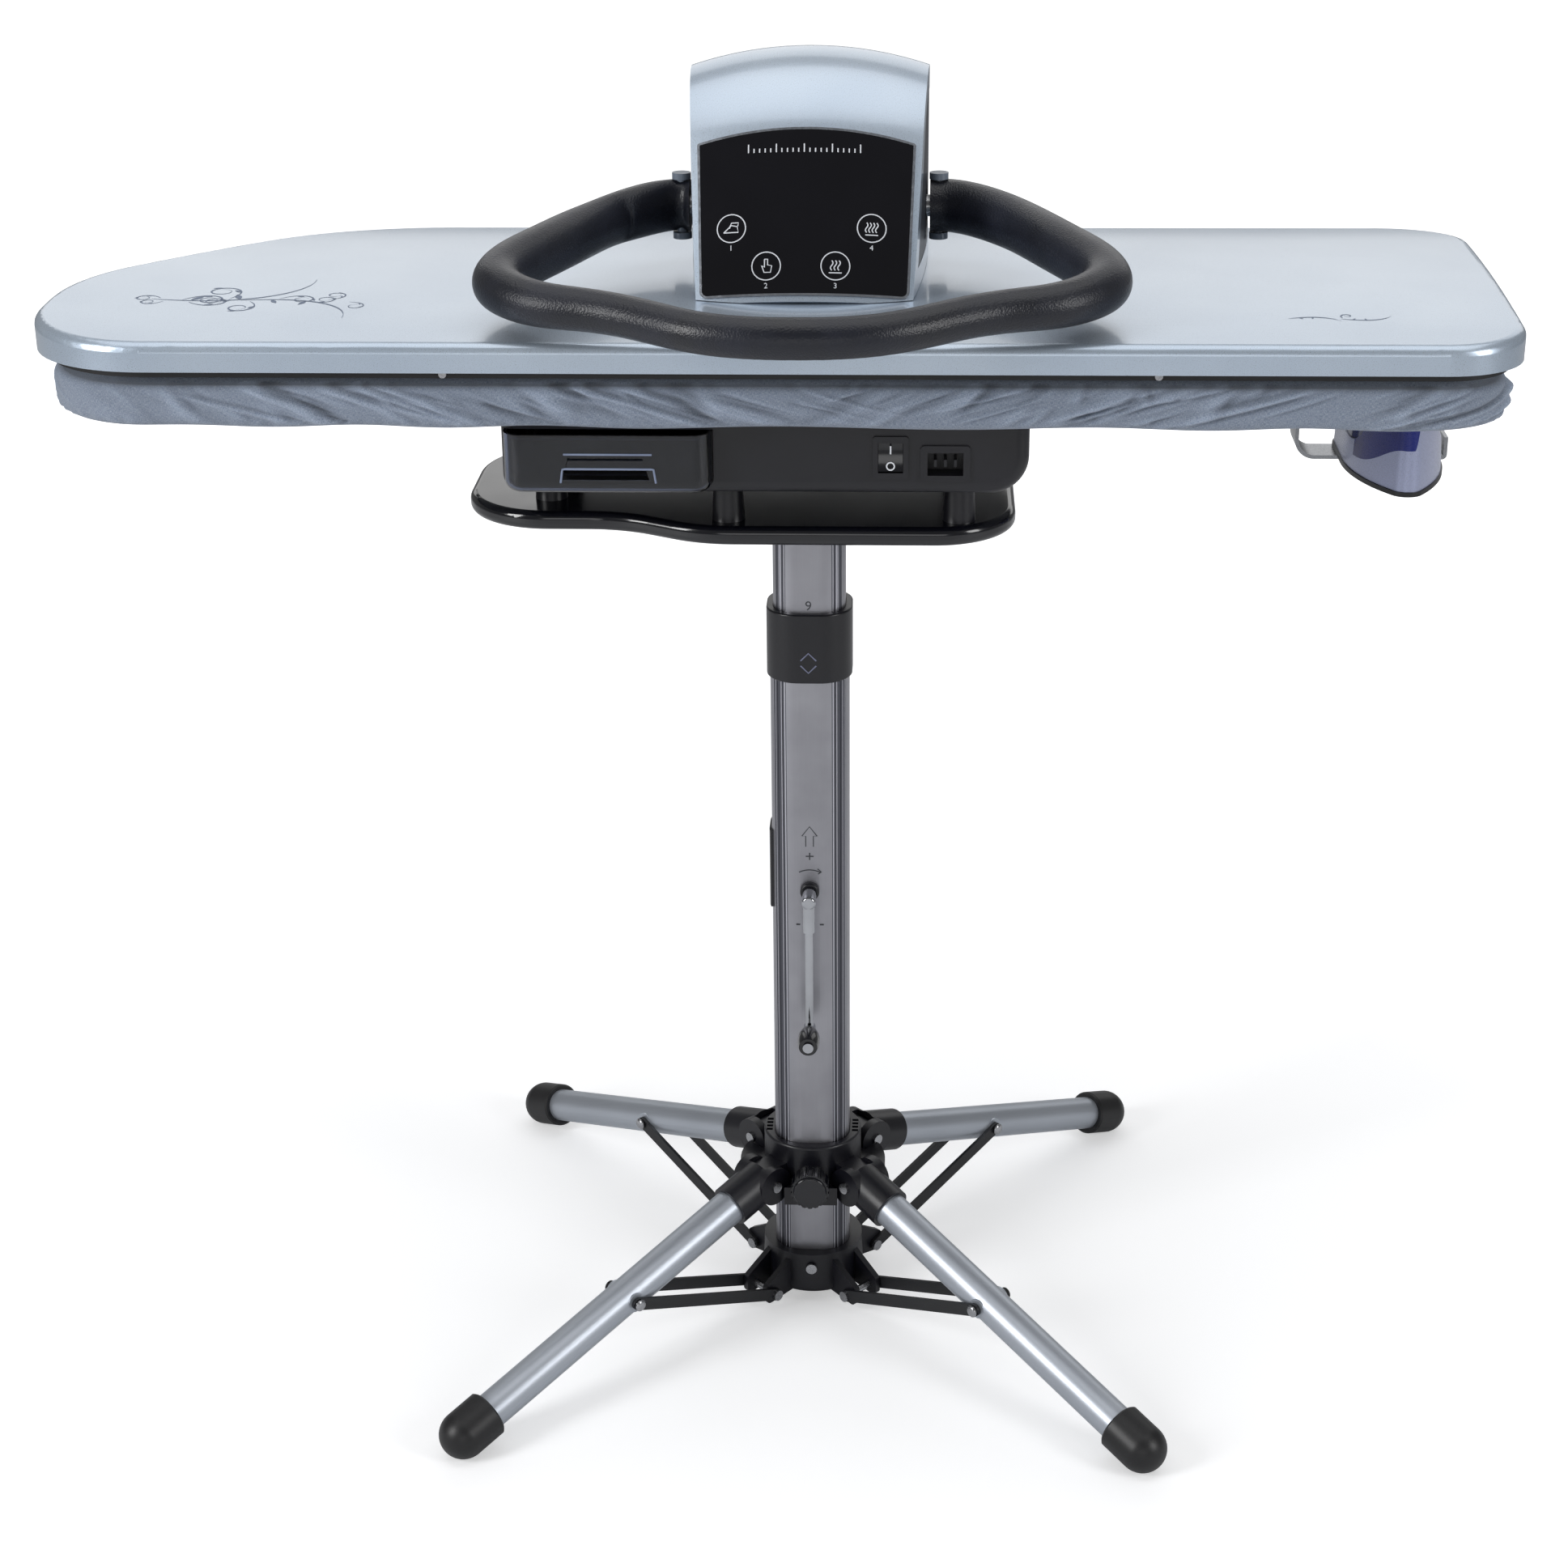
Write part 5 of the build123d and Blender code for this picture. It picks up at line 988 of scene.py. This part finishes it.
# Floor, light and camera
studio = {
    "floorSize": 40.0,
    "floorColour": "#E6E7E9",
    "floorLift": 0.42,  # seen light only: it reaches no surface of the press
    "farLift": 1.0,  # the same, from 3 m away: the sweep fades to white
    "world": 0.18,
}
floorMesh = bpy.data.meshes.new("studio_floor")
half = studio["floorSize"] / 2
floorMesh.from_pydata(
    [(-half, -half, 0), (half, -half, 0), (half, half, 0), (-half, half, 0)], [], [(0, 1, 2, 3)]
)
floor = bpy.data.objects.new("studio_floor", floorMesh)
bpy.context.scene.collection.objects.link(floor)
paper = newMaterial("matt white paper sweep")
rays = addNode(paper, "ShaderNodeLightPath")
seen = addNode(paper, maths, {
    "operation": "MAXIMUM", 0: rays.outputs["Is Camera Ray"], 1: rays.outputs["Is Transmission Ray"],
})
paperPlace = addNode(paper, "ShaderNodeTexCoord").outputs["Object"]
away = addNode(paper, "ShaderNodeVectorMath", {"operation": "LENGTH", 0: paperPlace})
spread = addNode(paper, "ShaderNodeMapRange", {
    "Value": away.outputs["Value"],
    "From Min": 0.7, "From Max": 3.0, "To Min": studio["floorLift"], "To Max": studio["farLift"],
})
lift = addNode(paper, maths, {"operation": "MULTIPLY", 0: seen.outputs[0], 1: spread.outputs[0]})
paint = addNode(paper, "ShaderNodeBsdfDiffuse", {"Color": linear(studio["floorColour"])})
glow = addNode(paper, "ShaderNodeEmission", {"Color": (1, 1, 1, 1), "Strength": lift.outputs[0]})
both = addNode(paper, "ShaderNodeAddShader", {0: paint.outputs[0], 1: glow.outputs[0]})
addNode(paper, "ShaderNodeOutputMaterial", {"Surface": both.outputs[0]})
floorMesh.materials.append(paper)

world = bpy.data.worlds.new("studio")
bpy.context.scene.world = world
world.use_nodes = True
backdrop = world.node_tree.nodes["Background"]
backdrop.inputs["Color"].default_value = (1, 1, 1, 1)
worldRays = addNode(world, "ShaderNodeLightPath")
strength = addNode(world, "ShaderNodeMapRange", {
    "Value": worldRays.outputs["Is Camera Ray"], "To Min": studio["world"], "To Max": 1.0,
})
world.node_tree.links.new(strength.outputs[0], backdrop.inputs["Strength"])

lamps = [
    # name, place, aimed at, width, height, power
    ("softboxTop", (0, 0.1, 3.3), (0, 0.1, 0.8), 4.0, 2.8, 42),
    ("softboxLeft", (-2.4, -1.7, 1.7), (0, 0, 0.6), 0.9, 1.5, 48),
    ("softboxRight", (2.4, -1.5, 1.5), (0, 0, 0.6), 0.8, 1.4, 26),
    ("backdropLight", (0.2, 3.2, 2.25), (0, 0, 0.9), 5.0, 2.2, 31),
    ("fillFront", (0.1, -3.4, 0.9), (0, 0, 0.4), 2.2, 0.9, 9),
]
for name, where, target, width, height, power in lamps:
    data = bpy.data.lights.new(name, "AREA")
    data.shape = "RECTANGLE"
    data.size, data.size_y, data.energy = width, height, power
    lamp = bpy.data.objects.new(name, data)
    lamp.location = where
    lamp.rotation_euler = (Vector(target) - Vector(where)).to_track_quat("-Z", "Y").to_euler()
    bpy.context.scene.collection.objects.link(lamp)

# degrees; the focal length is in pixels of a frame this wide; the place is from the column's foot
view = {
    "yaw": 2.850, "pitch": 22.581, "roll": -0.547,
    "focalPixels": 3560, "width": 1937,
    "place": (0.083, -2.089, 1.334),
}
yaw, pitch, roll = (math.radians(view[k]) for k in ("yaw", "pitch", "roll"))
forward = Vector((-math.sin(yaw) * math.cos(pitch), math.cos(yaw) * math.cos(pitch), -math.sin(pitch)))
level = Vector((math.cos(yaw), math.sin(yaw), 0))
upright = level.cross(forward)
rightHand = level * math.cos(roll) + upright * math.sin(roll)
upHand = upright * math.cos(roll) - level * math.sin(roll)
cameraData = bpy.data.cameras.new("camera")
cameraData.sensor_width = 36
cameraData.lens = view["focalPixels"] * 36 / view["width"]
camera = bpy.data.objects.new("camera", cameraData)
turned = Matrix((rightHand, upHand, -forward)).transposed().to_4x4()
turned.translation = Vector(view["place"]) + Vector((columnX, 0, 0))
camera.matrix_world = turned
bpy.context.scene.collection.objects.link(camera)
bpy.context.scene.camera = camera
bpy.context.scene.view_settings.view_transform = "Standard"

print("scene built")
